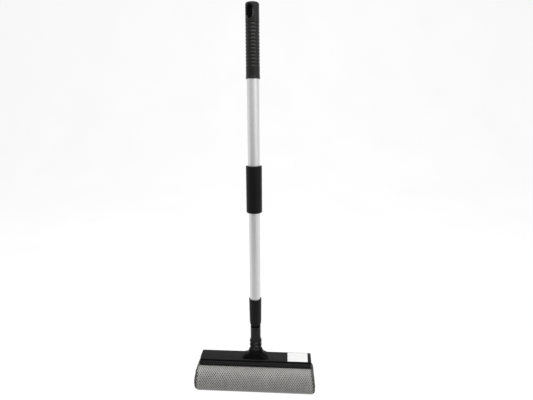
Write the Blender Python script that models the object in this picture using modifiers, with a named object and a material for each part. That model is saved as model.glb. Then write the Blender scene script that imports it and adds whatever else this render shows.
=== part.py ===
"""Telescopic window squeegee: a twist-lock pole and a screw-on head with a netted sponge and a rubber blade.

Metres, +Z up. The origin is the centre of the hanging hole in the grip, on the pole's axis. +X runs along the head,
and -Y is the side of the sponge. A head section is drawn in (y, z), with z measured from the roof's ridge.
"""

import math

import bmesh
import bpy
from mathutils import Matrix, Vector

# Clearances
SEAT_GAP = 0.0003
PRESS_GAP = 0.0002
RUNNING_GAP = 0.00015
OVERRUN = 0.002
MERGE_DISTANCE = 0.000001

# How finely round shapes are cut
TUBE_SEGMENTS = 48
GRIP_SEGMENTS = 32
SLEEVE_SEGMENTS = 40
SMALL_SEGMENTS = 16
ARC_STEPS = 4
SMOOTH_ANGLE = math.radians(32)
FINE_POINTS = 1440

# Tubes
UPPER_TUBE_DIAMETER = 0.0222
UPPER_TUBE_WALL = 0.00045
UPPER_TUBE_SHOWN = 0.1545
LOWER_TUBE_WALL = 0.0005
LOWER_TUBE_LENGTH = 0.3833
LOWER_TUBE_SHOWN = 0.1782

# Grip
GRIP_LENGTH = 0.1242
GRIP_TOP_WALL = 0.0007
GRIP_FOOT_WALL = 0.0011
GRIP_TOP_ROUND = 0.003
GRIP_LIP_STAND = 0.0003
GRIP_LIP_HEIGHT = 0.0045
GRIP_CROWN_DEPTH = 0.0315
GROOVE_COUNT = 13
GROOVE_PITCH = 0.00565
GROOVE_WIDTH = 0.0026
GROOVE_DEPTH = 0.00045
FIRST_GROOVE_DROP = 0.0335

# Hanging hole, between two pockets in the grip's crown
HANG_HOLE_DROP = 0.010
HANG_HOLE_DIAMETER = 0.0096
HANG_TURN = math.radians(-24)
HANG_WEB = 0.0155
HANG_POCKET_WIDTH = 0.0138
HANG_POCKET_RISE = 0.0055
HANG_POCKET_LENGTH = 0.022

# Sleeve and guide bush
SLEEVE_LENGTH = 0.0894
SLEEVE_WALL = 0.0037
SLEEVE_TOP_ROUND = 0.001
SLEEVE_FOOT_ROUND = 0.0028
BUSH_HEIGHT = 0.009
BUSH_WALL = 0.0021
SLEEVE_RIVET_SHARE = 0.7

# Rivets
RIVET_SHANK_RADIUS = 0.00145
RIVET_HEAD_RADIUS = 0.0026
RIVET_HEAD_HEIGHT = 0.0009
RIVET_SINK = 0.0004
RIVET_GRIP_IN_SPIGOT = 0.003
RIVET_DOME_SHARE = 0.6

# Twist lock
LOCK_RING_WALL = 0.00225
LOCK_RING_HEIGHT = 0.014
LOCK_RING_SPLIT = 0.003
LOBE_THROW = 0.0016
CAM_PLUG_DEPTH = 0.026
CAM_FLANGE_HEIGHT = 0.0025
LOCK_CAP_HEIGHT = 0.0025
LOCK_SCREW_SHANK_RADIUS = 0.0015
LOCK_SCREW_HEAD_RADIUS = 0.0031
LOCK_SCREW_HEAD_HEIGHT = 0.002
LOCK_SCREW_LENGTH = 0.012

# Ferrule, spigot and washer
FERRULE_LENGTH = 0.0573
FERRULE_RIM_WALL = 0.00175
FERRULE_RIM_ROUND = 0.0006
FERRULE_SHOULDER_WALL = 0.00115
FERRULE_SHOULDER_HEIGHT = 0.0115
FERRULE_FOOT_WALL = 0.0025
FERRULE_FLOOR = 0.0165
FERRULE_RIVET_RISE = 0.023
SPIGOT_DIAMETER = 0.0148
SPIGOT_REACH = 0.036
SPIGOT_PLUG_HEIGHT = 0.034
SPIGOT_TIP_CHAMFER = 0.0012
WASHER_HEIGHT = 0.003
WASHER_SET_IN = 0.0005

# Neck, socket and flare of the head
NECK_WALL = 0.0027
NECK_LENGTH = 0.0299
BASE_STAND = 0.0015
BASE_LENGTH = 0.021
BASE_BEAD = 0.0006
BASE_BEAD_HEIGHT = 0.0022
BASE_BEAD_DROP = 0.0028
BASE_BEAD_PITCH = 0.0081
SOCKET_DEPTH = 0.039
CORE_RADIUS = 0.005
RIDGE_BELOW_BASE = 0.0104
FLARE_HEIGHT = 0.0203
FLARE_SPREAD_X = 0.030
FLARE_SPREAD_Y = 0.0024
FLARE_STEPS = 9
FLARE_SEGMENTS = 32

# Head section, from the ridge
HEAD_LENGTH = 0.2285
HEAD_EDGE_ROUND = 0.0012
RIDGE_SETBACK = 0.003
RIDGE_ROUND = 0.0015
RIDGE_END_ROUND = 0.0075
ROOF_TILT = math.radians(25.4)
ROOF_DEPTH = 0.0206
LIP_HEIGHT = 0.002
SHADOW_GROOVE_DEPTH = 0.0019
SHADOW_GROOVE_HEIGHT = 0.0021
LEG_TILT = math.radians(56.3)
LEG_LENGTH = 0.0075
LEG_THICKNESS = 0.0036
BACK_TILT = math.radians(40.8)
BACK_DEPTH = 0.032
HEAD_WALL = 0.0025
HEAD_END_WALL = 0.0025
RIB_THICKNESS = 0.0016
POCKET_COUNT = 8

# Blade channel, rubber and stops, in the rear slot
BLADE_TILT = math.radians(-34)
SLOT_DEPTH = 0.008
SLOT_FLOOR_WIDTH = 0.0078
SLOT_MOUTH_WIDTH = 0.0067
JAW_WALL = 0.0022
CHANNEL_SHARE = 0.95
CHANNEL_STAND = 0.003
CHANNEL_WALL = 0.0008
KEYHOLE_STEPS = 12
CHANNEL_LIP_NARROWING = 0.0004
BEAD_RADIUS = 0.002
STEM_THICKNESS = 0.0014
BLADE_STAND = 0.0155
BLADE_ROOT_THICKNESS = 0.0023
BLADE_TIP_THICKNESS = 0.0016
STOP_THICKNESS = 0.0045

# Clamp strip over the net's front edge
STRIP_THICKNESS = 0.002
STRIP_RIDGE = 0.0005
STRIP_RIDGE_WIDTH = 0.0012
STRIP_RIDGE_SHARES = (0.22, 0.62)
STRIP_HOOK = 0.0012
STRIP_HOOK_THICKNESS = 0.0007
STRIP_LAP = 0.0006

# Sponge carrier and its screws
CARRIER_THICKNESS = 0.0027
CARRIER_DEPTH = 0.020
CARRIER_SCREW_SHANK_RADIUS = 0.0011
CARRIER_SCREW_HEAD_RADIUS = 0.0026
CARRIER_SCREW_HEAD_HEIGHT = 0.0016
CARRIER_SCREW_LENGTH = 0.0105
CARRIER_SCREW_CLEARANCE = 0.0004
BOSS_WALL = 0.002
BOSS_RIBS = (1, 3, 5, 7)

# Foam sponge and its net
FOAM_OVERHANG = 0.00975
FOAM_END_ROUND = 0.005
FOAM_END_LEAN = 0.0055
FOAM_FORWARD = 0.0175
FOAM_HALF_DEPTH = 0.0295
FOAM_CROWN = 0.0260
FOAM_ABOVE = 0.0221
FOAM_BELOW = 0.028
FOAM_TOP_FULLNESS = 2.6
FOAM_FOOT_FULLNESS = 2.0
FOAM_END_ANGLES = (0, 30, 60, 90)
NET_THICKNESS = 0.0012
NET_HEM = 0.0005
NET_TUCK = 0.0016
NET_COLUMNS = 16
NET_ROWS = 8

# Radii that follow from the sizes above
UPPER_TUBE_RADIUS = UPPER_TUBE_DIAMETER / 2
UPPER_BORE = UPPER_TUBE_RADIUS - UPPER_TUBE_WALL
LOWER_TUBE_RADIUS = UPPER_BORE - RUNNING_GAP
LOWER_BORE = LOWER_TUBE_RADIUS - LOWER_TUBE_WALL
SLEEVE_BORE = UPPER_TUBE_RADIUS + PRESS_GAP
SLEEVE_RADIUS = SLEEVE_BORE + SLEEVE_WALL
BUSH_BORE = LOWER_TUBE_RADIUS + SEAT_GAP
BUSH_RADIUS = BUSH_BORE + BUSH_WALL
FERRULE_BORE = LOWER_TUBE_RADIUS + PRESS_GAP
SPIGOT_RADIUS = SPIGOT_DIAMETER / 2
FERRULE_FOOT_RADIUS = SPIGOT_RADIUS + PRESS_GAP + FERRULE_FOOT_WALL
SOCKET_BORE = SPIGOT_RADIUS + SEAT_GAP
NECK_RADIUS = SOCKET_BORE + NECK_WALL
BASE_RADIUS = NECK_RADIUS + BASE_STAND
LOCK_RING_RADIUS = UPPER_BORE - SEAT_GAP
LOBE_RADIUS = LOCK_RING_RADIUS - LOCK_RING_WALL - SEAT_GAP - LOBE_THROW

# Stations down the pole, at rest
GRIP_TOP = HANG_HOLE_DROP
GRIP_FOOT = GRIP_TOP - GRIP_LENGTH
SLEEVE_TOP = GRIP_FOOT - UPPER_TUBE_SHOWN
SLEEVE_FOOT = SLEEVE_TOP - SLEEVE_LENGTH
FERRULE_TOP = SLEEVE_FOOT - LOWER_TUBE_SHOWN
FERRULE_FOOT = FERRULE_TOP - FERRULE_LENGTH
LOWER_TUBE_FOOT = FERRULE_FOOT + FERRULE_FLOOR + SEAT_GAP
LOWER_TUBE_TOP = LOWER_TUBE_FOOT + LOWER_TUBE_LENGTH
LOCK_RING_FOOT = LOWER_TUBE_TOP + SEAT_GAP + CAM_FLANGE_HEIGHT + SEAT_GAP
LOCK_CAP_FOOT = LOCK_RING_FOOT + LOCK_RING_HEIGHT + SEAT_GAP
NECK_TOP = FERRULE_FOOT - SEAT_GAP - WASHER_HEIGHT - SEAT_GAP
BASE_TOP = NECK_TOP - NECK_LENGTH
BASE_FOOT = BASE_TOP - BASE_LENGTH
RIDGE_HEIGHT = BASE_FOOT - RIDGE_BELOW_BASE


def along(point, tilt, distance):
    """The (y, z) point at this distance from another, in the direction that tilts up from +Y by this angle."""
    return Vector((point[0] + distance * math.cos(tilt), point[1] + distance * math.sin(tilt)))


def sunk(point, depth):
    """The (y, z) point straight below another."""
    return Vector((point[0], point[1] - depth))


# Corners of the head section
RIDGE = Vector((RIDGE_SETBACK, 0))
FRONT_EDGE = along(RIDGE, math.pi + ROOF_TILT, ROOF_DEPTH)
LIP_FOOT = sunk(FRONT_EDGE, LIP_HEIGHT)
LEG_TOP = sunk(LIP_FOOT, SHADOW_GROOVE_HEIGHT)
LEG_FOOT = along(LEG_TOP, math.pi + LEG_TILT, LEG_LENGTH)
UNDERSIDE = LEG_FOOT[1]
BAY_FRONT = LEG_FOOT[0] + LEG_THICKNESS
BAY_REAR = BAY_FRONT + SEAT_GAP + CARRIER_DEPTH + SEAT_GAP
JAW_TOP = along(RIDGE, -BACK_TILT, BACK_DEPTH)
ACROSS_BLADE = BLADE_TILT - math.pi / 2
SLOT_MOUTH = along(JAW_TOP, ACROSS_BLADE, JAW_WALL + SLOT_MOUTH_WIDTH / 2)
SLOT_FLOOR = along(SLOT_MOUTH, BLADE_TILT, -SLOT_DEPTH)
JAW_FOOT = along(SLOT_MOUTH, ACROSS_BLADE, SLOT_MOUTH_WIDTH / 2 + JAW_WALL)
BLOCK_FOOT = along(JAW_FOOT, BLADE_TILT, -SLOT_DEPTH - JAW_WALL)

# Heights under the head, measured from the ridge
NET_TOP = UNDERSIDE - SEAT_GAP
FOAM_TOP = NET_TOP - NET_THICKNESS - SEAT_GAP
CARRIER_FOOT = FOAM_TOP + SEAT_GAP
CARRIER_TOP = CARRIER_FOOT + CARRIER_THICKNESS
RIB_FOOT = CARRIER_TOP + SEAT_GAP
FOAM_CENTRE = Vector((-FOAM_FORWARD, FOAM_TOP - FOAM_ABOVE))
NET_OFFSET = SEAT_GAP + NET_THICKNESS / 2
FOAM_LENGTH = HEAD_LENGTH + 2 * FOAM_OVERHANG
FOAM_STRAIGHT_HALF = FOAM_LENGTH / 2 - FOAM_END_ROUND - FOAM_END_LEAN
BOSS_FORWARD = BAY_FRONT + SEAT_GAP + CARRIER_DEPTH / 2
POCKET_SPAN = HEAD_LENGTH - 2 * HEAD_END_WALL
POCKET_PITCH = POCKET_SPAN / POCKET_COUNT
CHANNEL_LENGTH = HEAD_LENGTH * CHANNEL_SHARE


def new_collection(name):
    collection = bpy.data.collections.new(name)
    bpy.context.scene.collection.children.link(collection)
    return collection


def material(name, colour, roughness, metallic=0.0):
    """A Principled BSDF with one colour."""
    surface = bpy.data.materials.new(name)
    surface.use_nodes = True
    shader = surface.node_tree.nodes["Principled BSDF"]
    shader.inputs["Base Color"].default_value = (*colour, 1.0)
    shader.inputs["Roughness"].default_value = roughness
    shader.inputs["Metallic"].default_value = metallic
    surface.diffuse_color = (*colour, 1.0)
    return surface


def smooth_by_angle_group():
    """A node group that shades a mesh smooth and keeps the edges sharper than SMOOTH_ANGLE sharp."""
    group = bpy.data.node_groups.new("smooth_by_angle", "GeometryNodeTree")
    group.interface.new_socket("Geometry", in_out="INPUT", socket_type="NodeSocketGeometry")
    group.interface.new_socket("Geometry", in_out="OUTPUT", socket_type="NodeSocketGeometry")
    nodes = group.nodes
    source = nodes.new("NodeGroupInput")
    result = nodes.new("NodeGroupOutput")
    edge_angle = nodes.new("GeometryNodeInputMeshEdgeAngle")
    is_sharp = nodes.new("FunctionNodeCompare")
    is_sharp.data_type = "FLOAT"
    is_sharp.operation = "GREATER_THAN"
    is_sharp.inputs[1].default_value = SMOOTH_ANGLE
    faces_smooth = nodes.new("GeometryNodeSetShadeSmooth")
    faces_smooth.domain = "FACE"
    edges_sharp = nodes.new("GeometryNodeSetShadeSmooth")
    edges_sharp.domain = "EDGE"
    edges_sharp.inputs["Shade Smooth"].default_value = False
    link = group.links.new
    link(source.outputs[0], faces_smooth.inputs["Geometry"])
    link(faces_smooth.outputs["Geometry"], edges_sharp.inputs["Geometry"])
    link(edge_angle.outputs["Unsigned Angle"], is_sharp.inputs[0])
    link(is_sharp.outputs["Result"], edges_sharp.inputs["Selection"])
    link(edges_sharp.outputs["Geometry"], result.inputs[0])
    return group


def joint_empty(name, height, parent=None):
    """An empty on the pole's axis at a joint, which carries one moving body."""
    empty = bpy.data.objects.new(name, None)
    empty.empty_display_size = UPPER_TUBE_DIAMETER
    empty.parent = parent
    empty.location.z = height - (world_height(parent) if parent else 0)
    PARTS.objects.link(empty)
    return empty


def world_height(obj):
    height = 0
    while obj:
        height += obj.location.z
        obj = obj.parent
    return height


def place(obj, body, height, surface):
    """Puts a finished piece on its body, with its own origin at this height, and gives it its material."""
    obj.parent = body
    obj.location.z += height - world_height(body)
    obj.data.materials.clear()
    obj.data.materials.append(surface)
    PARTS.objects.link(obj)
    obj.modifiers.new("smooth", "NODES").node_group = SMOOTH
    return obj


def place_cutter(tool, body, height):
    """Puts a helper that is cut from a piece, or joined to it, where the piece is."""
    tool.parent = body
    tool.location.z += height - world_height(body)
    tool.hide_render = True
    tool.display_type = "WIRE"
    CUTTERS.objects.link(tool)
    return tool


def combine(target, operation, tool):
    modifier = target.modifiers.new(tool.name, "BOOLEAN")
    modifier.operation = operation
    modifier.object = tool


def rounded(corners, steps=ARC_STEPS):
    """A closed outline with its corners, given as (point, radius), turned into arcs where the radius isn't zero."""
    outline = []
    for index, (point, radius) in enumerate(corners):
        corner = Vector(point)
        if radius == 0:
            outline.append(corner)
            continue
        before = (Vector(corners[index - 1][0]) - corner).normalized()
        after = (Vector(corners[(index + 1) % len(corners)][0]) - corner).normalized()
        half = before.angle(after) / 2
        centre = corner + (before + after).normalized() * radius / math.sin(half)
        start = corner + before * radius / math.tan(half) - centre
        end = corner + after * radius / math.tan(half) - centre
        sweep = start.angle(end)
        for step in range(steps + 1):
            share = step / steps
            outline.append(
                centre + (start * math.sin((1 - share) * sweep) + end * math.sin(share * sweep)) / math.sin(sweep)
            )
    return outline


def turned(name, profile, segments):
    """A profile of (radius, height) points, turned about Z. One that starts off the axis is a closed ring."""
    last = len(profile) - 1
    edges = [(index, index + 1) for index in range(last)]
    if profile[0][0] > 0:
        edges.append((last, 0))
    mesh = bpy.data.meshes.new(name)
    mesh.from_pydata([(radius, 0, height) for radius, height in profile], edges, [])
    obj = bpy.data.objects.new(name, mesh)
    screw = obj.modifiers.new("turn", "SCREW")
    screw.steps = segments
    screw.render_steps = segments
    screw.use_merge_vertices = True
    screw.merge_threshold = MERGE_DISTANCE
    return obj


def tube(name, outer, bore, foot, top, segments):
    """A plain turned ring."""
    return turned(name, [(outer, top), (outer, foot), (bore, foot), (bore, top)], segments)


def rod(name, radius, foot, top, segments):
    """A plain turned cylinder."""
    return turned(name, [(0, top), (radius, top), (radius, foot), (0, foot)], segments)


def prism(name, outline, start, end):
    """An outline of (y, z) points, carried along X from start to end."""
    curve = bpy.data.curves.new(name, "CURVE")
    curve.dimensions = "2D"
    curve.fill_mode = "BOTH"
    curve.extrude = (end - start) / 2
    spline = curve.splines.new("POLY")
    spline.points.add(len(outline) - 1)
    for point, (y, z) in zip(spline.points, outline):
        point.co = (y, z, 0, 1)
    spline.use_cyclic_u = True
    guide = bpy.data.objects.new(name, curve)
    bpy.context.scene.collection.objects.link(guide)
    graph = bpy.context.evaluated_depsgraph_get()
    mesh = bpy.data.meshes.new_from_object(guide.evaluated_get(graph))
    bpy.data.objects.remove(guide)
    bpy.data.curves.remove(curve)
    curve_to_head = Matrix(((0, 0, 1), (1, 0, 0), (0, 1, 0))).to_4x4()
    mesh.transform(Matrix.Translation(((start + end) / 2, 0, 0)) @ curve_to_head)
    return bpy.data.objects.new(name, closed(mesh))


def closed(mesh):
    """The mesh with its doubled points joined and its faces turned outward."""
    shape = bmesh.new()
    shape.from_mesh(mesh)
    bmesh.ops.remove_doubles(shape, verts=shape.verts, dist=MERGE_DISTANCE)
    bmesh.ops.recalc_face_normals(shape, faces=shape.faces)
    shape.to_mesh(mesh)
    shape.free()
    return mesh


def loft(name, rings):
    """A closed skin over rings that all have the same number of points, with a flat cap on each end."""
    shape = bmesh.new()
    levels = [[shape.verts.new(point) for point in ring] for ring in rings]
    for lower, upper in zip(levels, levels[1:]):
        for index in range(len(lower)):
            shape.faces.new((lower[index - 1], lower[index], upper[index], upper[index - 1]))
    shape.faces.new(levels[0])
    shape.faces.new(levels[-1])
    mesh = bpy.data.meshes.new(name)
    shape.to_mesh(mesh)
    shape.free()
    return bpy.data.objects.new(name, closed(mesh))


def joined(name, objects):
    """One mesh object of several that don't touch."""
    shape = bmesh.new()
    for obj in objects:
        shape.from_mesh(obj.data)
        bpy.data.objects.remove(obj)
    mesh = bpy.data.meshes.new(name)
    shape.to_mesh(mesh)
    shape.free()
    return bpy.data.objects.new(name, mesh)


def grip_radius(drop):
    """The grip's outer radius at this drop below its top, where it widens evenly to the foot."""
    share = drop / GRIP_LENGTH
    return SLEEVE_BORE + GRIP_TOP_WALL + share * (GRIP_FOOT_WALL - GRIP_TOP_WALL)


def grip_profile():
    """Outer side down, over the grooves to the lip, then up the bore to the solid crown."""
    profile = [(0, 0)]
    for step in range(ARC_STEPS + 1):
        angle = step / ARC_STEPS * math.pi / 2
        drop = GRIP_TOP_ROUND * (1 - math.cos(angle))
        inset = GRIP_TOP_ROUND * (1 - math.sin(angle))
        profile.append((grip_radius(drop) - inset, -drop))
    for groove in range(GROOVE_COUNT):
        middle = FIRST_GROOVE_DROP + groove * GROOVE_PITCH
        above = middle - GROOVE_WIDTH / 2
        below = middle + GROOVE_WIDTH / 2
        profile.append((grip_radius(above), -above))
        profile.append((grip_radius(middle) - GROOVE_DEPTH, -middle))
        profile.append((grip_radius(below), -below))
    lip = GRIP_LENGTH - GRIP_LIP_HEIGHT
    profile.append((grip_radius(lip), -lip))
    profile.append((grip_radius(lip) + GRIP_LIP_STAND, -lip - GRIP_LIP_STAND))
    profile.append((grip_radius(GRIP_LENGTH) + GRIP_LIP_STAND, GRIP_LIP_STAND - GRIP_LENGTH))
    profile.append((grip_radius(GRIP_LENGTH), -GRIP_LENGTH))
    profile.append((SLEEVE_BORE, -GRIP_LENGTH))
    profile.append((SLEEVE_BORE, -GRIP_CROWN_DEPTH))
    profile.append((0, -GRIP_CROWN_DEPTH))
    return profile


def hang_pocket_outline():
    """An upright slot with round ends, as (y, z) points about the hanging hole."""
    half = HANG_POCKET_WIDTH / 2
    foot = HANG_POCKET_RISE - HANG_POCKET_LENGTH
    square = ((half, HANG_POCKET_RISE), (-half, HANG_POCKET_RISE), (-half, foot), (half, foot))
    nearly_half = half - PRESS_GAP
    return rounded([(corner, nearly_half) for corner in square])


def grip(body):
    """The ribbed hand grip, with the hanging hole between a pocket on each side of its solid crown."""
    obj = turned("grip", grip_profile(), GRIP_SEGMENTS)
    reach = grip_radius(GRIP_LENGTH) + OVERRUN
    outline = hang_pocket_outline()
    pockets = joined(
        "hang_pocket_cutter",
        [
            prism("near_pocket", outline, HANG_WEB / 2, reach),
            prism("far_pocket", outline, -reach, -HANG_WEB / 2),
        ],
    )
    hole = rod("hang_hole_cutter", HANG_HOLE_DIAMETER / 2, -reach, reach, SMALL_SEGMENTS + ARC_STEPS)
    pockets.rotation_euler.z = HANG_TURN + math.pi / 2
    hole.rotation_euler = (math.pi / 2, 0, HANG_TURN)
    for tool in (pockets, hole):
        combine(obj, "DIFFERENCE", place_cutter(tool, body, 0))
    place(obj, body, GRIP_TOP, BLACK_GRIP)


def upper_tube(body):
    foot = SLEEVE_FOOT + BUSH_HEIGHT + SEAT_GAP
    top = GRIP_TOP - GRIP_CROWN_DEPTH - SEAT_GAP
    obj = tube("upper_tube", UPPER_TUBE_RADIUS, UPPER_BORE, 0, top - foot, TUBE_SEGMENTS)
    combine(obj, "DIFFERENCE", radial_hole("upper_tube_rivet_cutter", body, sleeve_rivet_height(), UPPER_BORE))
    place(obj, body, foot, ALUMINIUM)


def mid_sleeve(body):
    """The smooth black sleeve at the outer tube's mouth, with a recess for the guide bush."""
    recess = BUSH_RADIUS + PRESS_GAP
    step = BUSH_HEIGHT + SEAT_GAP / 2
    profile = rounded(
        [
            ((SLEEVE_BORE, SLEEVE_LENGTH), 0),
            ((SLEEVE_RADIUS, SLEEVE_LENGTH), SLEEVE_TOP_ROUND),
            ((SLEEVE_RADIUS, 0), min(SLEEVE_FOOT_ROUND, SLEEVE_RADIUS - recess - SEAT_GAP)),
            ((recess, 0), 0),
            ((recess, step), 0),
            ((SLEEVE_BORE, step), 0),
        ]
    )
    obj = turned("mid_sleeve", profile, SLEEVE_SEGMENTS)
    height = sleeve_rivet_height()
    combine(obj, "DIFFERENCE", radial_hole("sleeve_rivet_cutter", body, height, UPPER_TUBE_RADIUS))
    combine(obj, "DIFFERENCE", spot_face("sleeve_spot_face_cutter", body, height, SLEEVE_RADIUS))
    place(obj, body, SLEEVE_FOOT, BLACK_SATIN)


def guide_bush(body):
    """The nylon ring in the sleeve's mouth that centres the sliding tube."""
    obj = tube("guide_bush", BUSH_RADIUS, BUSH_BORE, 0, BUSH_HEIGHT - SEAT_GAP, SLEEVE_SEGMENTS)
    place(obj, body, SLEEVE_FOOT + SEAT_GAP / 2, NYLON)


def sleeve_rivet_height():
    return SLEEVE_FOOT + SLEEVE_LENGTH * SLEEVE_RIVET_SHARE


def radial_hole(name, body, height, start):
    """A cutter for a rivet hole on the back of the pole, from a radius outward."""
    length = SLEEVE_RADIUS + OVERRUN - start
    hole = rod(name, RIVET_SHANK_RADIUS + PRESS_GAP, -length, OVERRUN, SMALL_SEGMENTS)
    hole.rotation_euler.x = math.pi / 2
    hole.location.y = start
    return place_cutter(hole, body, height)


def spot_face(name, body, height, surface_radius):
    """A cutter for the flat that a rivet's head sits on."""
    face = rod(name, RIVET_HEAD_RADIUS + PRESS_GAP, -OVERRUN, RIVET_SINK, SMALL_SEGMENTS)
    face.rotation_euler.x = math.pi / 2
    face.location.y = surface_radius
    return place_cutter(face, body, height)


def rivet(name, body, height, surface_radius, inner_end, surface):
    """A round-headed rivet on the back of the pole, with its axis along Y and its shank towards the pole's axis."""
    seat = surface_radius - RIVET_SINK + SEAT_GAP
    shank = seat - inner_end
    dome = RIVET_HEAD_HEIGHT * RIVET_DOME_SHARE
    profile = [
        (0, RIVET_HEAD_HEIGHT),
        (RIVET_HEAD_RADIUS * RIVET_DOME_SHARE, RIVET_HEAD_HEIGHT),
        (RIVET_HEAD_RADIUS, dome),
        (RIVET_HEAD_RADIUS, 0),
        (RIVET_SHANK_RADIUS, 0),
        (RIVET_SHANK_RADIUS, -shank),
        (0, -shank),
    ]
    obj = turned(name, profile, SMALL_SEGMENTS)
    obj.rotation_euler.x = -math.pi / 2
    obj.location.y = seat
    place(obj, body, height, surface)


def lock_ring(body):
    """The split ring round the cam's lobe, which spreads against the outer tube."""
    bore = LOCK_RING_RADIUS - LOCK_RING_WALL
    obj = tube("lock_ring", LOCK_RING_RADIUS, bore, 0, LOCK_RING_HEIGHT, TUBE_SEGMENTS)
    reach = LOCK_RING_RADIUS + OVERRUN
    half = LOCK_RING_SPLIT / 2
    outline = ((0, -OVERRUN), (reach, -OVERRUN), (reach, LOCK_RING_HEIGHT + OVERRUN), (0, LOCK_RING_HEIGHT + OVERRUN))
    split = place_cutter(prism("lock_split_cutter", outline, -half, half), body, LOCK_RING_FOOT)
    combine(obj, "DIFFERENCE", split)
    place(obj, body, LOCK_RING_FOOT, NYLON)


def cam_plug(body):
    """The plug in the tube's top, with a flange on the tube's end and the off-centre lobe above it."""
    plug_radius = LOWER_BORE - PRESS_GAP
    flange_top = SEAT_GAP + CAM_FLANGE_HEIGHT
    lobe_top = LOCK_CAP_FOOT - SEAT_GAP - LOWER_TUBE_TOP
    profile = [
        (0, flange_top),
        (LOCK_RING_RADIUS, flange_top),
        (LOCK_RING_RADIUS, SEAT_GAP),
        (plug_radius, SEAT_GAP),
        (plug_radius, -CAM_PLUG_DEPTH),
        (0, -CAM_PLUG_DEPTH),
    ]
    obj = turned("cam_plug", profile, TUBE_SEGMENTS)
    lobe = rod("cam_lobe", LOBE_RADIUS, CAM_FLANGE_HEIGHT / 2, lobe_top, TUBE_SEGMENTS)
    lobe.location.x = LOBE_THROW
    combine(obj, "UNION", place_cutter(lobe, body, LOWER_TUBE_TOP))
    screw_hole = rod(
        "cam_screw_cutter", LOCK_SCREW_SHANK_RADIUS + PRESS_GAP, -LOCK_SCREW_LENGTH, OVERRUN, SMALL_SEGMENTS
    )
    combine(obj, "DIFFERENCE", place_cutter(screw_hole, body, LOCK_CAP_FOOT))
    place(obj, body, LOWER_TUBE_TOP, BLACK_SATIN)


def lock_cap(body):
    obj = tube(
        "lock_cap", LOCK_RING_RADIUS, LOCK_SCREW_SHANK_RADIUS + PRESS_GAP, 0, LOCK_CAP_HEIGHT, TUBE_SEGMENTS
    )
    place(obj, body, LOCK_CAP_FOOT, BLACK_SATIN)


def lock_screw(body):
    """A pan-head screw through the cap into the cam plug."""
    shank = LOCK_CAP_HEIGHT + SEAT_GAP + LOCK_SCREW_LENGTH - OVERRUN
    head_side = LOCK_SCREW_HEAD_HEIGHT / 2
    profile = [
        (0, LOCK_SCREW_HEAD_HEIGHT),
        (LOCK_SCREW_HEAD_RADIUS - head_side, LOCK_SCREW_HEAD_HEIGHT),
        (LOCK_SCREW_HEAD_RADIUS, head_side),
        (LOCK_SCREW_HEAD_RADIUS, 0),
        (LOCK_SCREW_SHANK_RADIUS, 0),
        (LOCK_SCREW_SHANK_RADIUS, -shank),
        (0, -shank),
    ]
    obj = turned("lock_screw", profile, SMALL_SEGMENTS)
    place(obj, body, LOCK_CAP_FOOT + LOCK_CAP_HEIGHT + SEAT_GAP, STEEL)


def lower_tube(body):
    obj = tube("lower_tube", LOWER_TUBE_RADIUS, LOWER_BORE, 0, LOWER_TUBE_LENGTH, TUBE_SEGMENTS)
    height = FERRULE_FOOT + FERRULE_RIVET_RISE
    combine(obj, "DIFFERENCE", radial_hole("lower_tube_rivet_cutter", body, height, LOWER_BORE - OVERRUN))
    place(obj, body, LOWER_TUBE_FOOT, ALUMINIUM)


def ferrule_radius(rise):
    """The ferrule's outer radius at this rise above its foot, along its straight taper."""
    share = (rise - FERRULE_SHOULDER_HEIGHT) / (FERRULE_LENGTH - FERRULE_SHOULDER_HEIGHT)
    return FERRULE_BORE + FERRULE_SHOULDER_WALL + share * (FERRULE_RIM_WALL - FERRULE_SHOULDER_WALL)


def ferrule(body):
    """The tapered fitting on the tube's foot, with a rounded shoulder and a floor that the spigot passes through."""
    rim = ferrule_radius(FERRULE_LENGTH)
    shoulder = ferrule_radius(FERRULE_SHOULDER_HEIGHT)
    profile = [
        (FERRULE_BORE, FERRULE_LENGTH),
        (rim - FERRULE_RIM_ROUND, FERRULE_LENGTH),
        (rim, FERRULE_LENGTH - FERRULE_RIM_ROUND),
    ]
    for step in range(ARC_STEPS + 2):
        angle = step / (ARC_STEPS + 1) * math.pi / 2
        radius = FERRULE_FOOT_RADIUS + (shoulder - FERRULE_FOOT_RADIUS) * math.cos(angle)
        profile.append((radius, FERRULE_SHOULDER_HEIGHT * (1 - math.sin(angle))))
    spigot_bore = SPIGOT_RADIUS + PRESS_GAP
    profile += [(spigot_bore, 0), (spigot_bore, FERRULE_FLOOR), (FERRULE_BORE, FERRULE_FLOOR)]
    obj = turned("ferrule", profile, SLEEVE_SEGMENTS)
    height = FERRULE_FOOT + FERRULE_RIVET_RISE
    surface_radius = ferrule_radius(FERRULE_RIVET_RISE)
    combine(obj, "DIFFERENCE", radial_hole("ferrule_rivet_cutter", body, height, LOWER_BORE))
    combine(obj, "DIFFERENCE", spot_face("ferrule_spot_face_cutter", body, height, surface_radius))
    place(obj, body, FERRULE_FOOT, BLACK_SATIN)


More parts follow.
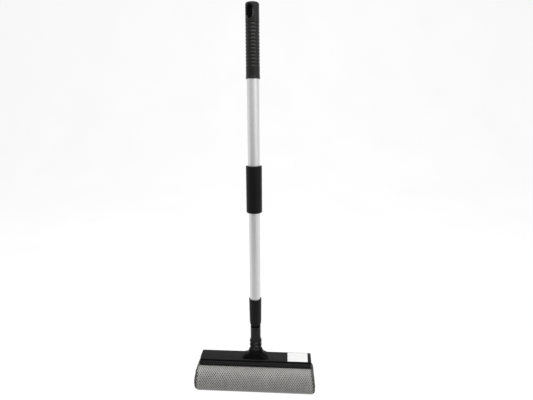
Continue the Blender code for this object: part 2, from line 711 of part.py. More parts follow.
def threaded_spigot(body):
    """The plug in the tube's foot, whose thinner end carries the thread for the head."""
    plug_radius = LOWER_BORE - PRESS_GAP
    plug_foot = SPIGOT_REACH + FERRULE_FLOOR + SEAT_GAP
    plug_top = plug_foot + SPIGOT_PLUG_HEIGHT
    profile = [
        (0, plug_top),
        (plug_radius - SPIGOT_TIP_CHAMFER, plug_top),
        (plug_radius, plug_top - SPIGOT_TIP_CHAMFER),
        (plug_radius, plug_foot),
        (SPIGOT_RADIUS, plug_foot),
        (SPIGOT_RADIUS, SPIGOT_TIP_CHAMFER),
        (SPIGOT_RADIUS - SPIGOT_TIP_CHAMFER, 0),
        (0, 0),
    ]
    obj = turned("threaded_spigot", profile, SLEEVE_SEGMENTS)
    height = FERRULE_FOOT + FERRULE_RIVET_RISE
    start = LOWER_BORE - PRESS_GAP - RIVET_GRIP_IN_SPIGOT - SEAT_GAP
    hole = radial_hole("spigot_rivet_cutter", body, height, start + OVERRUN)
    combine(obj, "DIFFERENCE", hole)
    place(obj, body, FERRULE_FOOT - SPIGOT_REACH, BLACK_SATIN)


def thread_washer(body):
    """The rubber ring between the ferrule and the neck."""
    outer = FERRULE_FOOT_RADIUS - WASHER_SET_IN
    obj = tube("thread_washer", outer, SPIGOT_RADIUS + SEAT_GAP, 0, WASHER_HEIGHT, SLEEVE_SEGMENTS)
    place(obj, body, NECK_TOP + SEAT_GAP, RUBBER)


def socket_profile():
    """The neck and the beaded socket base, turned as one, from the neck's top down to the flare."""
    base_top = -NECK_LENGTH
    base_foot = base_top - BASE_LENGTH
    profile = [(0, 0), (NECK_RADIUS - BASE_BEAD, 0), (NECK_RADIUS, -BASE_BEAD), (NECK_RADIUS, base_top)]
    profile += [(BASE_RADIUS - BASE_BEAD / 2, base_top), (BASE_RADIUS, base_top - BASE_BEAD / 2)]
    for bead in range(2):
        top = base_top - BASE_BEAD_DROP - bead * BASE_BEAD_PITCH
        profile += [
            (BASE_RADIUS, top),
            (BASE_RADIUS + BASE_BEAD, top - BASE_BEAD_HEIGHT / 2),
            (BASE_RADIUS, top - BASE_BEAD_HEIGHT),
        ]
    profile += [(BASE_RADIUS, base_foot), (0, base_foot)]
    return profile


def flare_rings():
    """Ellipses that open from the round base to the wide foot on the roof, like a trumpet's bell."""
    rings = []
    overlap = BASE_BEAD_HEIGHT / 2
    for step in range(FLARE_STEPS + 1):
        share = step / FLARE_STEPS
        half_x = BASE_RADIUS + FLARE_SPREAD_X * share**2
        half_y = BASE_RADIUS + FLARE_SPREAD_Y * share**2
        z = overlap - (FLARE_HEIGHT + overlap) * share
        ring = []
        for segment in range(FLARE_SEGMENTS):
            angle = segment / FLARE_SEGMENTS * math.tau
            ring.append((half_x * math.cos(angle), half_y * math.sin(angle), z))
        rings.append(ring)
    return rings


def head_outline():
    """The head's outer section: roof, lip, front leg, underside, blade jaw and back slope."""
    return rounded(
        [
            (RIDGE, RIDGE_ROUND),
            (FRONT_EDGE, HEAD_EDGE_ROUND / 2),
            (LIP_FOOT, 0),
            ((LIP_FOOT[0] + SHADOW_GROOVE_DEPTH, LIP_FOOT[1]), 0),
            ((LEG_TOP[0] + SHADOW_GROOVE_DEPTH, LEG_TOP[1]), 0),
            (LEG_TOP, 0),
            (LEG_FOOT, 0),
            ((BLOCK_FOOT[0] - abs(BLOCK_FOOT[1] - UNDERSIDE), UNDERSIDE), 0),
            (BLOCK_FOOT, 0),
            (JAW_FOOT, HEAD_EDGE_ROUND / 2),
            (JAW_TOP, HEAD_EDGE_ROUND / 2),
        ],
        steps=3,
    )


def ridge_end(side):
    """What rounds the roof's upper corner off at one end of the head, as seen from the front."""
    half = HEAD_LENGTH / 2
    centre = half - RIDGE_END_ROUND
    outline = [(half + OVERRUN, OVERRUN), (half + OVERRUN, -RIDGE_END_ROUND)]
    for step in range(ARC_STEPS + 1):
        angle = step / ARC_STEPS * math.pi / 2
        x = centre + RIDGE_END_ROUND * math.cos(angle)
        outline.append((x, RIDGE_END_ROUND * (math.sin(angle) - 1)))
    outline.append((centre, OVERRUN))
    ends = (FRONT_EDGE[0] - OVERRUN, JAW_TOP[0] + OVERRUN)
    return loft("ridge_end", [[(side * x, y, z) for x, z in outline] for y in ends])


def slot_outline(clearance):
    """The blade slot, wider at its floor than at its mouth. A clearance over zero gives what fits in it."""
    half_floor = SLOT_FLOOR_WIDTH / 2 - clearance
    half_mouth = SLOT_MOUTH_WIDTH / 2 - clearance
    floor = along(SLOT_FLOOR, BLADE_TILT, clearance)
    return [
        along(floor, ACROSS_BLADE, -half_floor),
        along(floor, ACROSS_BLADE, half_floor),
        along(SLOT_MOUTH, ACROSS_BLADE, half_mouth),
        along(SLOT_MOUTH, ACROSS_BLADE, -half_mouth),
    ]


def slot_cutter_outline():
    floor_and_mouth = slot_outline(0)
    outer = [along(point, BLADE_TILT, OVERRUN) for point in floor_and_mouth[2:]]
    return floor_and_mouth[:2] + floor_and_mouth[2:3] + outer + floor_and_mouth[3:]


def pocket_outline():
    """The hollow under the roof, which the ribs divide: it keeps a wall's thickness to roof, leg, back and slot."""
    roof_drop = HEAD_WALL / math.cos(ROOF_TILT)
    back_drop = HEAD_WALL / math.cos(BACK_TILT)
    front = LIP_FOOT[0] + SHADOW_GROOVE_DEPTH + HEAD_WALL
    front_top = (front, -(RIDGE_SETBACK - front) * math.tan(ROOF_TILT) - roof_drop)
    rear = SLOT_FLOOR[0] - SLOT_FLOOR_WIDTH / 2 - HEAD_WALL / 2
    rear_top = (rear, -(rear - RIDGE_SETBACK) * math.tan(BACK_TILT) - back_drop)
    below = RIB_FOOT - OVERRUN / 2
    return [
        (front, below),
        (BAY_REAR, below),
        (rear, SLOT_FLOOR[1] + HEAD_WALL),
        rear_top,
        (RIDGE_SETBACK, -max(roof_drop, back_drop)),
        front_top,
    ]


def rib_positions():
    """The place along X of each rib between two pockets."""
    return [POCKET_PITCH * rib - POCKET_SPAN / 2 for rib in range(1, POCKET_COUNT)]


def boss_positions():
    """The place along X of each screw boss, on every other rib from the ends inward."""
    ends = [-POCKET_SPAN / 2] + rib_positions() + [POCKET_SPAN / 2]
    return [ends[rib] for rib in BOSS_RIBS]


def head_body(body):
    """The head's black moulding: section, neck, socket and flare, hollowed below and slotted for the blade."""
    half = HEAD_LENGTH / 2
    obj = prism("head_body", head_outline(), -half, half)
    for side in (-1, 1):
        combine(obj, "DIFFERENCE", place_cutter(ridge_end(side), body, RIDGE_HEIGHT))
    from_ridge = NECK_TOP - RIDGE_HEIGHT
    socket = turned("head_socket", socket_profile(), SLEEVE_SEGMENTS)
    combine(obj, "UNION", place_cutter(socket, body, NECK_TOP))
    flare = loft("head_flare", flare_rings())
    combine(obj, "UNION", place_cutter(flare, body, BASE_FOOT))

    margin = RIB_THICKNESS / 2
    edges = [-POCKET_SPAN / 2 - margin] + rib_positions() + [POCKET_SPAN / 2 + margin]
    pockets = [
        prism("pocket", pocket_outline(), start + margin, end - margin) for start, end in zip(edges, edges[1:])
    ]
    combine(obj, "DIFFERENCE", place_cutter(joined("pocket_cutters", pockets), body, RIDGE_HEIGHT))
    pilot = CARRIER_SCREW_SHANK_RADIUS + PRESS_GAP
    boss_radius = pilot + BOSS_WALL
    boss_top = front_roof_height(BOSS_FORWARD - boss_radius) - HEAD_WALL / 2
    hole_top = CARRIER_FOOT + CARRIER_SCREW_LENGTH + SEAT_GAP
    below = RIB_FOOT - OVERRUN
    holes = []
    for number, x in enumerate(boss_positions(), 1):
        boss = rod(f"boss_{number}", boss_radius, below, boss_top, SMALL_SEGMENTS)
        hole = rod(f"boss_hole_{number}", pilot, below, hole_top, SMALL_SEGMENTS)
        for tool in (boss, hole):
            tool.location = (x, BOSS_FORWARD, 0)
            place_cutter(tool, body, RIDGE_HEIGHT)
        combine(obj, "UNION", boss)
        holes.append(hole)
    bay = [
        (BAY_FRONT, UNDERSIDE - OVERRUN),
        (BAY_REAR, UNDERSIDE - OVERRUN),
        (BAY_REAR, RIB_FOOT),
        (BAY_FRONT, RIB_FOOT),
    ]
    bay_half = POCKET_SPAN / 2
    combine(obj, "DIFFERENCE", place_cutter(prism("bay_cutter", bay, -bay_half, bay_half), body, RIDGE_HEIGHT))
    for hole in holes:
        combine(obj, "DIFFERENCE", hole)
    slot = prism("slot_cutter", slot_cutter_outline(), -half - OVERRUN, half + OVERRUN)
    combine(obj, "DIFFERENCE", place_cutter(slot, body, RIDGE_HEIGHT))

    socket_foot = -SOCKET_DEPTH
    core_foot = RIB_FOOT - OVERRUN - from_ridge
    bore = turned(
        "socket_cutter",
        [
            (0, OVERRUN),
            (SOCKET_BORE, OVERRUN),
            (SOCKET_BORE, socket_foot),
            (CORE_RADIUS, socket_foot - (SOCKET_BORE - CORE_RADIUS)),
            (CORE_RADIUS, core_foot),
            (0, core_foot),
        ],
        SLEEVE_SEGMENTS,
    )
    combine(obj, "DIFFERENCE", place_cutter(bore, body, NECK_TOP))
    place(obj, body, RIDGE_HEIGHT, BLACK_GLOSS)


def front_roof_height(forward):
    """The roof's height at this y, in front of the ridge."""
    return -(RIDGE_SETBACK - forward) * math.tan(ROOF_TILT)


def clamp_strip(body):
    """The strip on the front leg, hooked in the shadow groove, with two ridges along its face."""
    inner_top = along(LEG_TOP, LEG_TILT + math.pi / 2, SEAT_GAP)
    outward = LEG_TILT + math.pi / 2
    down = LEG_TILT + math.pi
    length = LEG_LENGTH + STRIP_LAP
    face_top = along(inner_top, outward, STRIP_THICKNESS)
    outline = [along(inner_top, down, length)]
    hook_height = LEG_TOP[1] + SEAT_GAP
    hook_start = along(inner_top, down, -STRIP_HOOK_THICKNESS)
    outline += [
        Vector((LEG_TOP[0] - SEAT_GAP, hook_height)),
        Vector((LEG_TOP[0] + STRIP_HOOK, hook_height)),
        Vector((LEG_TOP[0] + STRIP_HOOK, hook_height + STRIP_HOOK_THICKNESS)),
        Vector((hook_start[0], hook_height + STRIP_HOOK_THICKNESS)),
        face_top,
    ]
    for share in STRIP_RIDGE_SHARES:
        ridge = along(face_top, down, length * share)
        outline += [
            along(ridge, down, -STRIP_RIDGE_WIDTH / 2),
            along(ridge, outward, STRIP_RIDGE),
            along(ridge, down, STRIP_RIDGE_WIDTH / 2),
        ]
    outline.append(along(face_top, down, length))
    half = HEAD_LENGTH / 2
    place(prism("clamp_strip", outline, -half, half), body, RIDGE_HEIGHT, BLACK_SATIN)


def sponge_carrier(body):
    """The plate that the foam is glued to, with countersunk holes for its screws."""
    front = BAY_FRONT + SEAT_GAP
    outline = [
        (front, CARRIER_FOOT),
        (front + CARRIER_DEPTH, CARRIER_FOOT),
        (front + CARRIER_DEPTH, CARRIER_TOP),
        (front, CARRIER_TOP),
    ]
    half = POCKET_SPAN / 2 - SEAT_GAP
    obj = prism("sponge_carrier", outline, -half, half)
    for number, x in enumerate(boss_positions()):
        hole = turned(f"carrier_hole_{number}", screw_profile(CARRIER_SCREW_CLEARANCE, OVERRUN), SMALL_SEGMENTS)
        hole.location.x = x
        hole.location.y = BOSS_FORWARD
        combine(obj, "DIFFERENCE", place_cutter(hole, body, RIDGE_HEIGHT + CARRIER_FOOT))
    place(obj, body, RIDGE_HEIGHT, BLACK_SATIN)


def screw_profile(clearance, overrun):
    """A countersunk screw with its head down, from the tip of its shank to its flat head."""
    shank = CARRIER_SCREW_SHANK_RADIUS + clearance / 2
    head = CARRIER_SCREW_HEAD_RADIUS + clearance
    return [
        (0, CARRIER_SCREW_LENGTH),
        (shank, CARRIER_SCREW_LENGTH),
        (shank, CARRIER_SCREW_HEAD_HEIGHT + clearance),
        (head, clearance),
        (head, -overrun),
        (0, -overrun),
    ]


def carrier_screws(body):
    for number, x in enumerate(boss_positions()):
        obj = turned(f"carrier_screw_{number + 1}", screw_profile(0, 0), SMALL_SEGMENTS)
        obj.location.x = x
        obj.location.y = BOSS_FORWARD
        place(obj, body, RIDGE_HEIGHT + CARRIER_FOOT + SEAT_GAP / 2, STEEL)


def sponge_point(angle, offset):
    """The (y, z) point of the sponge's D-shaped section at this angle round it, grown by an offset."""
    across = math.cos(angle)
    upward = math.sin(angle)
    power = 2 / (FOAM_TOP_FULLNESS if upward > 0 else FOAM_FOOT_FULLNESS)
    rise = FOAM_CROWN if upward > 0 else FOAM_BELOW
    y = FOAM_CENTRE[0] + (FOAM_HALF_DEPTH + offset) * math.copysign(abs(across) ** power, across)
    z = FOAM_CENTRE[1] + (rise + offset) * math.copysign(abs(upward) ** power, upward)
    return Vector((y, min(z, FOAM_TOP + offset)))


def net_angles(count):
    """The angles of evenly spaced points on the net's section, from its front tuck round the foot to its rear tuck."""
    front = BAY_FRONT - NET_TUCK
    rear = BAY_REAR + NET_TUCK
    line = []
    for index in range(FINE_POINTS):
        angle = math.pi / 2 + math.tau * index / FINE_POINTS
        point = sponge_point(angle, NET_OFFSET)
        if point[0] < front or point[0] > rear or point[1] < FOAM_CENTRE[1]:
            travelled = line[-1][0] + (point - line[-1][2]).length if line else 0
            line.append((travelled, angle, point))
    wanted = [line[-1][0] * number / (count - 1) for number in range(count)]
    return [min(line, key=lambda entry: abs(entry[0] - distance))[1] for distance in wanted]


def foam_sponge(body):
    """The D-shaped foam, with its facets under the net's. Its ends lean outward to the foot and have round edges."""
    section = [sponge_point(angle, 0) for angle in net_angles(2 * NET_ROWS + 1)]
    rings = []
    for side in (-1, 1):
        for degrees in sorted(FOAM_END_ANGLES, reverse=side < 0):
            angle = math.radians(degrees)
            reach = FOAM_STRAIGHT_HALF + FOAM_END_ROUND * math.sin(angle)
            scale = 1 - FOAM_END_ROUND / FOAM_HALF_DEPTH * (1 - math.cos(angle))
            ring = []
            for point in section:
                y, z = FOAM_CENTRE + (point - FOAM_CENTRE) * scale
                drop = (FOAM_TOP - z) / (FOAM_ABOVE + FOAM_BELOW)
                ring.append((side * (reach + FOAM_END_LEAN * drop), y, z))
            rings.append(ring)
    place(loft("foam_sponge", rings), body, RIDGE_HEIGHT, FOAM)


def net_cover(body):
    """The diamond net round the foam: a lattice laid on the foam's section, with toothed side edges."""
    columns = 2 * NET_COLUMNS
    rows = 2 * NET_ROWS
    path = [sponge_point(angle, NET_OFFSET) for angle in net_angles(rows + 1)]
    half = FOAM_STRAIGHT_HALF - NET_HEM
    shape = bmesh.new()
    knots = {}
    for column in range(columns + 1):
        for row in range(column % 2, rows + 1, 2):
            x = half * (2 * column / columns - 1)
            knots[column, row] = shape.verts.new((x, *path[row]))
    for column in range(1, columns):
        for row in range((column + 1) % 2, rows + 1, 2):
            around = ((column - 1, row), (column, row - 1), (column + 1, row), (column, row + 1))
            shape.faces.new([knots[key] for key in around if key in knots])
    bmesh.ops.recalc_face_normals(shape, faces=shape.faces)
    mesh = bpy.data.meshes.new("net_cover")
    shape.to_mesh(mesh)
    shape.free()
    obj = bpy.data.objects.new("net_cover", mesh)
    strands = obj.modifiers.new("strands", "WIREFRAME")
    strands.thickness = NET_THICKNESS
    strands.use_boundary = True
    strands.use_even_offset = False
    place(obj, body, RIDGE_HEIGHT, NET)


def keyhole(centre, start_angle, radius, half_width, mouth_distance, count):
    """A round bead hole or bead that narrows to a stem along the blade, as points from one side of the stem round."""
    opening = math.asin(half_width / radius)
    points = [along(along(centre, BLADE_TILT, mouth_distance), ACROSS_BLADE, half_width)]
    for step in range(count + 1):
        angle = start_angle + opening + (math.tau - 2 * opening) * step / count
        points.append(along(centre, BLADE_TILT - angle, radius))
    points.append(along(along(centre, BLADE_TILT, mouth_distance), ACROSS_BLADE, -half_width))
    return points


def bead_centre():
    """The middle of the rubber's bead, a wall's thickness and a bead's radius above the channel's floor."""
    return along(SLOT_FLOOR, BLADE_TILT, SEAT_GAP + CHANNEL_WALL + SEAT_GAP + BEAD_RADIUS)


def blade_channel(body):
    """The metal channel in the head's rear slot, with a keyhole slot along it for the rubber's bead."""
    fit = slot_outline(SEAT_GAP)
    lip = along(SLOT_MOUTH, BLADE_TILT, CHANNEL_STAND)
    half_lip = SLOT_MOUTH_WIDTH / 2 - SEAT_GAP - CHANNEL_LIP_NARROWING
    distance = (lip - bead_centre()).length
    hole = keyhole(
        bead_centre(), 0, BEAD_RADIUS + SEAT_GAP, STEM_THICKNESS / 2 + SEAT_GAP, distance, KEYHOLE_STEPS
    )
    outline = [fit[3], fit[0], fit[1], fit[2], along(lip, ACROSS_BLADE, half_lip)]
    outline += hole
    outline.append(along(lip, ACROSS_BLADE, -half_lip))
    half = CHANNEL_LENGTH / 2
    place(prism("blade_channel", outline, -half, half), body, RIDGE_HEIGHT, ALUMINIUM)


def blade_rubber(body):
    """The wiping blade: a bead in the channel, a stem through its mouth, and a blade that thins to a square edge."""
    stem_end = along(SLOT_MOUTH, BLADE_TILT, CHANNEL_STAND + SEAT_GAP)
    distance = (stem_end - bead_centre()).length
    bead = keyhole(bead_centre(), 0, BEAD_RADIUS, STEM_THICKNESS / 2, distance, KEYHOLE_STEPS)
    tip = along(stem_end, BLADE_TILT, BLADE_STAND)
    outline = list(bead)
    outline.append(along(stem_end, ACROSS_BLADE, -BLADE_ROOT_THICKNESS / 2))
    outline.append(along(tip, ACROSS_BLADE, -BLADE_TIP_THICKNESS / 2))
    outline.append(along(tip, ACROSS_BLADE, BLADE_TIP_THICKNESS / 2))
    outline.append(along(stem_end, ACROSS_BLADE, BLADE_ROOT_THICKNESS / 2))
    half = CHANNEL_LENGTH / 2
    place(prism("blade_rubber", outline, -half, half), body, RIDGE_HEIGHT, RUBBER)


def blade_stops(body):
    """A plug in each end of the slot that keeps the channel and the rubber from sliding out."""
    start = CHANNEL_LENGTH / 2 + SEAT_GAP
    end = start + STOP_THICKNESS
    outline = slot_outline(SEAT_GAP)
    place(prism("blade_stop_left", outline, -end, -start), body, RIDGE_HEIGHT, BLACK_SATIN)
    place(prism("blade_stop_right", outline, start, end), body, RIDGE_HEIGHT, BLACK_SATIN)


for old in list(bpy.data.objects):
    bpy.data.objects.remove(old)

PARTS = new_collection("window_squeegee")
CUTTERS = new_collection("cutters")
SMOOTH = smooth_by_angle_group()
BLACK_GRIP = material("black_grip", (0.035, 0.034, 0.031), 0.55)
BLACK_SATIN = material("black_satin", (0.012, 0.012, 0.013), 0.45)
BLACK_GLOSS = material("black_moulding", (0.014, 0.013, 0.015), 0.32)
ALUMINIUM = material("aluminium", (0.78, 0.78, 0.77), 0.28, 1.0)
STEEL = material("steel", (0.62, 0.62, 0.62), 0.3, 1.0)
NYLON = material("nylon", (0.72, 0.71, 0.67), 0.5)
RUBBER = material("rubber", (0.011, 0.011, 0.011), 0.7)
FOAM = material("dark_foam", (0.028, 0.027, 0.026), 0.95)
NET = material("pale_net", (0.46, 0.45, 0.42), 0.75)

UPPER_POLE = joint_empty("upper_pole_frame", 0)
LOCK = joint_empty("lock_slide", LOCK_RING_FOOT, UPPER_POLE)
LOWER_POLE = joint_empty("twist_lock_hinge", LOWER_TUBE_TOP, LOCK)
WASHER_BODY = joint_empty("head_travel_slide", NECK_TOP, LOWER_POLE)
HEAD = joint_empty("head_turn_hinge", RIDGE_HEIGHT, WASHER_BODY)

grip(UPPER_POLE)
upper_tube(UPPER_POLE)
mid_sleeve(UPPER_POLE)
guide_bush(UPPER_POLE)
rivet("sleeve_rivet", UPPER_POLE, sleeve_rivet_height(), SLEEVE_RADIUS, UPPER_BORE + SEAT_GAP / 2, STEEL)
lock_ring(LOCK)
cam_plug(LOWER_POLE)
lock_cap(LOWER_POLE)
lock_screw(LOWER_POLE)
lower_tube(LOWER_POLE)
ferrule(LOWER_POLE)
threaded_spigot(LOWER_POLE)
rivet(
    "ferrule_rivet",
    LOWER_POLE,
    FERRULE_FOOT + FERRULE_RIVET_RISE,
    ferrule_radius(FERRULE_RIVET_RISE),
    LOWER_BORE - PRESS_GAP - RIVET_GRIP_IN_SPIGOT,
    STEEL,
)
thread_washer(WASHER_BODY)
head_body(HEAD)
clamp_strip(HEAD)
sponge_carrier(HEAD)
carrier_screws(HEAD)
foam_sponge(HEAD)
net_cover(HEAD)
blade_channel(HEAD)
blade_rubber(HEAD)
blade_stops(HEAD)
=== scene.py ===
"""The telescopic window squeegee as it looks: finer shapes over the solids, materials, light and camera.

Metres, in the solids' own frame: the origin is the centre of the hanging hole, +Z runs up the pole, +X along
the head, and -Y is the side of the sponge. A head section is drawn in (y, z), with z measured from the roof's
ridge.
"""

import math

import bmesh
import bpy
import numpy as np
from mathutils import Matrix, Vector, noise


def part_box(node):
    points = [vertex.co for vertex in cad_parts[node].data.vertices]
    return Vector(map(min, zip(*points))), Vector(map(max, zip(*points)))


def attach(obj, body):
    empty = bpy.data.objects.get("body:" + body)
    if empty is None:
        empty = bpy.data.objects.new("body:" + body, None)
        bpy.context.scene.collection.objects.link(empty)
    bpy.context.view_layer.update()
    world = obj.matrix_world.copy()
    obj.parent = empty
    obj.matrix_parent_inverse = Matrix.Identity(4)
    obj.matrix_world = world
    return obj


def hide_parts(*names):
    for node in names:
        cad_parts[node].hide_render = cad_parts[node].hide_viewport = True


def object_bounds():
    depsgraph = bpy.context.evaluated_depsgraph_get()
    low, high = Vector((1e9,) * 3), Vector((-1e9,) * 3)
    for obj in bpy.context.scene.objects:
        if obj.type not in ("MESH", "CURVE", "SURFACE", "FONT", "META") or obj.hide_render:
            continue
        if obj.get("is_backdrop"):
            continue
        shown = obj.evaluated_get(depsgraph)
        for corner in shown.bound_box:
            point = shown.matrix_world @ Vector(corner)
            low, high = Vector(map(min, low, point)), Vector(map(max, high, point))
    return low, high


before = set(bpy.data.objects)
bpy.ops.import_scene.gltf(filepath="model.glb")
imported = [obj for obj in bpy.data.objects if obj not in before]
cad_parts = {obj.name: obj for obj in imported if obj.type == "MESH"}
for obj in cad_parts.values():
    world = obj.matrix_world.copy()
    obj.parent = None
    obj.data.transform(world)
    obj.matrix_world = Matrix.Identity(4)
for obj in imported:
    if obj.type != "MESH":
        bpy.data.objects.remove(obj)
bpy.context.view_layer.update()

# Clearance between neighbouring pieces
GAP = 0.0003

# Stations and radii of the pole, from the solids where they state them
GRIP_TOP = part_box("grip")[1].z
GRIP_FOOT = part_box("grip")[0].z
GRIP_LENGTH = GRIP_TOP - GRIP_FOOT
GRIP_BORE = 0.0113
BORE_END = 0.0315
SLEEVE_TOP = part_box("mid_sleeve")[1].z
SLEEVE_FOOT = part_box("mid_sleeve")[0].z
SLEEVE_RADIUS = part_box("mid_sleeve")[1].x
BUSH_SEAT_RADIUS = 0.0131
BUSH_SEAT_DEPTH = 0.00915
FERRULE_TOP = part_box("ferrule")[1].z
FERRULE_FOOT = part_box("ferrule")[0].z
NECK_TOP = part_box("head_body")[1].z
NECK_RADIUS = 0.0104
BASE_TOP = NECK_TOP - 0.0299
BASE_FOOT = BASE_TOP - 0.021
BASE_RADIUS = 0.0119
RIDGE_HEIGHT = BASE_FOOT - 0.0104
THREAD_HOLE = 0.0077
RIVET_RADIUS = 0.0028
RIVET_HEAD = 0.0009
RIVET_HOLE = 0.00165

# Head section, from the ridge
HEAD_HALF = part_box("head_body")[1].x
HEAD_WALL = 0.0025
ROOF_TILT = math.radians(25.4)
LEG_TILT = math.radians(56.3)
BACK_TILT = math.radians(40.8)
BLADE_TILT = math.radians(-34)
SLOT_DEPTH = 0.008
SLOT_FLOOR_WIDTH = 0.0078
SLOT_MOUTH_WIDTH = 0.0067
JAW_WALL = 0.0022


def along(point, tilt, distance):
    return Vector((point[0] + distance * math.cos(tilt), point[1] + distance * math.sin(tilt)))


def sunk(point, depth):
    return Vector((point[0], point[1] - depth))


RIDGE = Vector((0.003, 0))
ROOF_DEPTH = 0.0206
FRONT_EDGE = along(RIDGE, math.pi + ROOF_TILT, ROOF_DEPTH)
LIP_FOOT = sunk(FRONT_EDGE, 0.002)
SHADOW_DEPTH = 0.0019
LEG_TOP = sunk(LIP_FOOT, 0.0021)
LEG_LENGTH = 0.0075
LEG_FOOT = along(LEG_TOP, math.pi + LEG_TILT, LEG_LENGTH)
UNDERSIDE = LEG_FOOT[1]
BAY_FRONT = LEG_FOOT[0] + 0.0036
BAY_REAR = BAY_FRONT + 0.0206
JAW_TOP = along(RIDGE, -BACK_TILT, 0.032)
ACROSS_BLADE = BLADE_TILT - math.pi / 2
SLOT_MOUTH = along(JAW_TOP, ACROSS_BLADE, JAW_WALL + SLOT_MOUTH_WIDTH / 2)
SLOT_FLOOR = along(SLOT_MOUTH, BLADE_TILT, -SLOT_DEPTH)
JAW_FOOT = along(SLOT_MOUTH, ACROSS_BLADE, SLOT_MOUTH_WIDTH / 2 + JAW_WALL)
BLOCK_FOOT = along(JAW_FOOT, BLADE_TILT, -SLOT_DEPTH - JAW_WALL)
FOAM_TOP = UNDERSIDE - 0.0018
CARRIER_TOP = FOAM_TOP + 0.003
RIB_FOOT = CARRIER_TOP + GAP
FOAM_CENTRE = Vector((-0.0175, FOAM_TOP - 0.0221))


# Meshes


def quarter(steps, first=0):
    """(sine, cosine) pairs round a quarter turn, from this step to the last."""
    angles = [step / steps * math.pi / 2 for step in range(first, steps + 1)]
    return [(math.sin(angle), math.cos(angle)) for angle in angles]


def circle(count):
    """(cosine, sine) pairs round a full turn."""
    angles = [math.tau * index / count for index in range(count)]
    return [(math.cos(angle), math.sin(angle)) for angle in angles]


def loft_faces(rings, around, first=0):
    """Quads between rings that follow each other in a list of points, and a face over each end."""
    faces = []
    for ring in range(rings - 1):
        low = first + ring * around
        for index in range(around):
            following = (index + 1) % around
            faces.append((low + index, low + following, low + around + following, low + around + index))
    last = first + (rings - 1) * around
    faces.append(tuple(range(first, first + around)))
    faces.append(tuple(range(last, last + around)))
    return faces


def smooth_shading(obj, degrees=35):
    obj.data.shade_smooth()
    obj.data.set_sharp_from_angle(angle=math.radians(degrees))


def from_lists(name, vertices, faces, smooth=35):
    """A new object in the scene, with its faces turned outward and its soft edges smooth."""
    mesh = bpy.data.meshes.new(name)
    mesh.from_pydata(vertices, [], faces)
    mesh.update()
    shape = bmesh.new()
    shape.from_mesh(mesh)
    bmesh.ops.recalc_face_normals(shape, faces=shape.faces)
    shape.to_mesh(mesh)
    shape.free()
    obj = bpy.data.objects.new(name, mesh)
    bpy.context.scene.collection.objects.link(obj)
    smooth_shading(obj, smooth)
    return obj


def applied(obj, smooth=35):
    """The object with its modifiers worked into its mesh."""
    graph = bpy.context.evaluated_depsgraph_get()
    graph.update()
    mesh = bpy.data.meshes.new_from_object(obj.evaluated_get(graph))
    obj.modifiers.clear()
    obj.data = mesh
    smooth_shading(obj, smooth)
    return obj


def boolean(target, operation, tools, smooth=35):
    for tool in tools:
        modifier = target.modifiers.new(tool.name, "BOOLEAN")
        modifier.operation = operation
        modifier.object = tool
        modifier.solver = "EXACT"
    applied(target, smooth)
    for tool in tools:
        bpy.data.objects.remove(tool)
    return target


def bevelled(obj, width, segments, angle):
    modifier = obj.modifiers.new("edges", "BEVEL")
    modifier.width = width
    modifier.segments = segments
    modifier.limit_method = "ANGLE"
    modifier.angle_limit = math.radians(angle)
    return applied(obj)


def rounded(corners, steps=6):
    """A closed outline of (point, radius) corners, each turned into an arc unless its radius is zero."""
    outline = []
    for index, (point, radius) in enumerate(corners):
        corner = Vector(point)
        if radius == 0:
            outline.append(corner)
            continue
        before = (Vector(corners[index - 1][0]) - corner).normalized()
        after = (Vector(corners[(index + 1) % len(corners)][0]) - corner).normalized()
        half = before.angle(after) / 2
        centre = corner + (before + after).normalized() * radius / math.sin(half)
        start = corner + before * radius / math.tan(half) - centre
        end = corner + after * radius / math.tan(half) - centre
        sweep = start.angle(end)
        for step in range(steps + 1):
            share = step / steps
            arm = start * math.sin((1 - share) * sweep) + end * math.sin(share * sweep)
            outline.append(centre + arm / math.sin(sweep))
    return outline


def lathe(name, profile, segments):
    """A closed profile of (radius, height) points turned about the pole's axis."""
    vertices, rings, faces = [], [], []
    for radius, z in profile:
        first = len(vertices)
        if radius < 1e-7:
            rings.append([first])
            vertices.append((0, 0, z))
            continue
        rings.append(list(range(first, first + segments)))
        vertices += [(radius * cosine, radius * sine, z) for cosine, sine in circle(segments)]
    pairs = list(zip(rings, rings[1:]))
    if len(rings[0]) > 1:
        pairs.append((rings[-1], rings[0]))
    for upper, lower in pairs:
        for index in range(segments):
            following = (index + 1) % segments
            corners = [upper[index % len(upper)], upper[following % len(upper)]]
            corners += [lower[following % len(lower)], lower[index % len(lower)]]
            unique = list(dict.fromkeys(corners))
            if len(unique) > 2:
                faces.append(unique)
    return from_lists(name, vertices, faces)


def prism(name, outline, start, end, steps=1):
    """A head section's outline carried along X."""
    vertices = []
    for step in range(steps + 1):
        x = start + (end - start) * step / steps
        vertices += [(x, point[0], point[1] + RIDGE_HEIGHT) for point in outline]
    return from_lists(name, vertices, loft_faces(steps + 1, len(outline)))


def rod_between(name, start, end, radius, segments=32):
    """A plain cylinder between two points, for a cut, a hole or a boss."""
    start, end = Vector(start), Vector(end)
    axis = (end - start).normalized()
    side = axis.orthogonal().normalized()
    other = axis.cross(side)
    vertices = []
    for point in (start, end):
        vertices += [point + radius * (side * cosine + other * sine) for cosine, sine in circle(segments)]
    return from_lists(name, vertices, loft_faces(2, segments))


# Materials


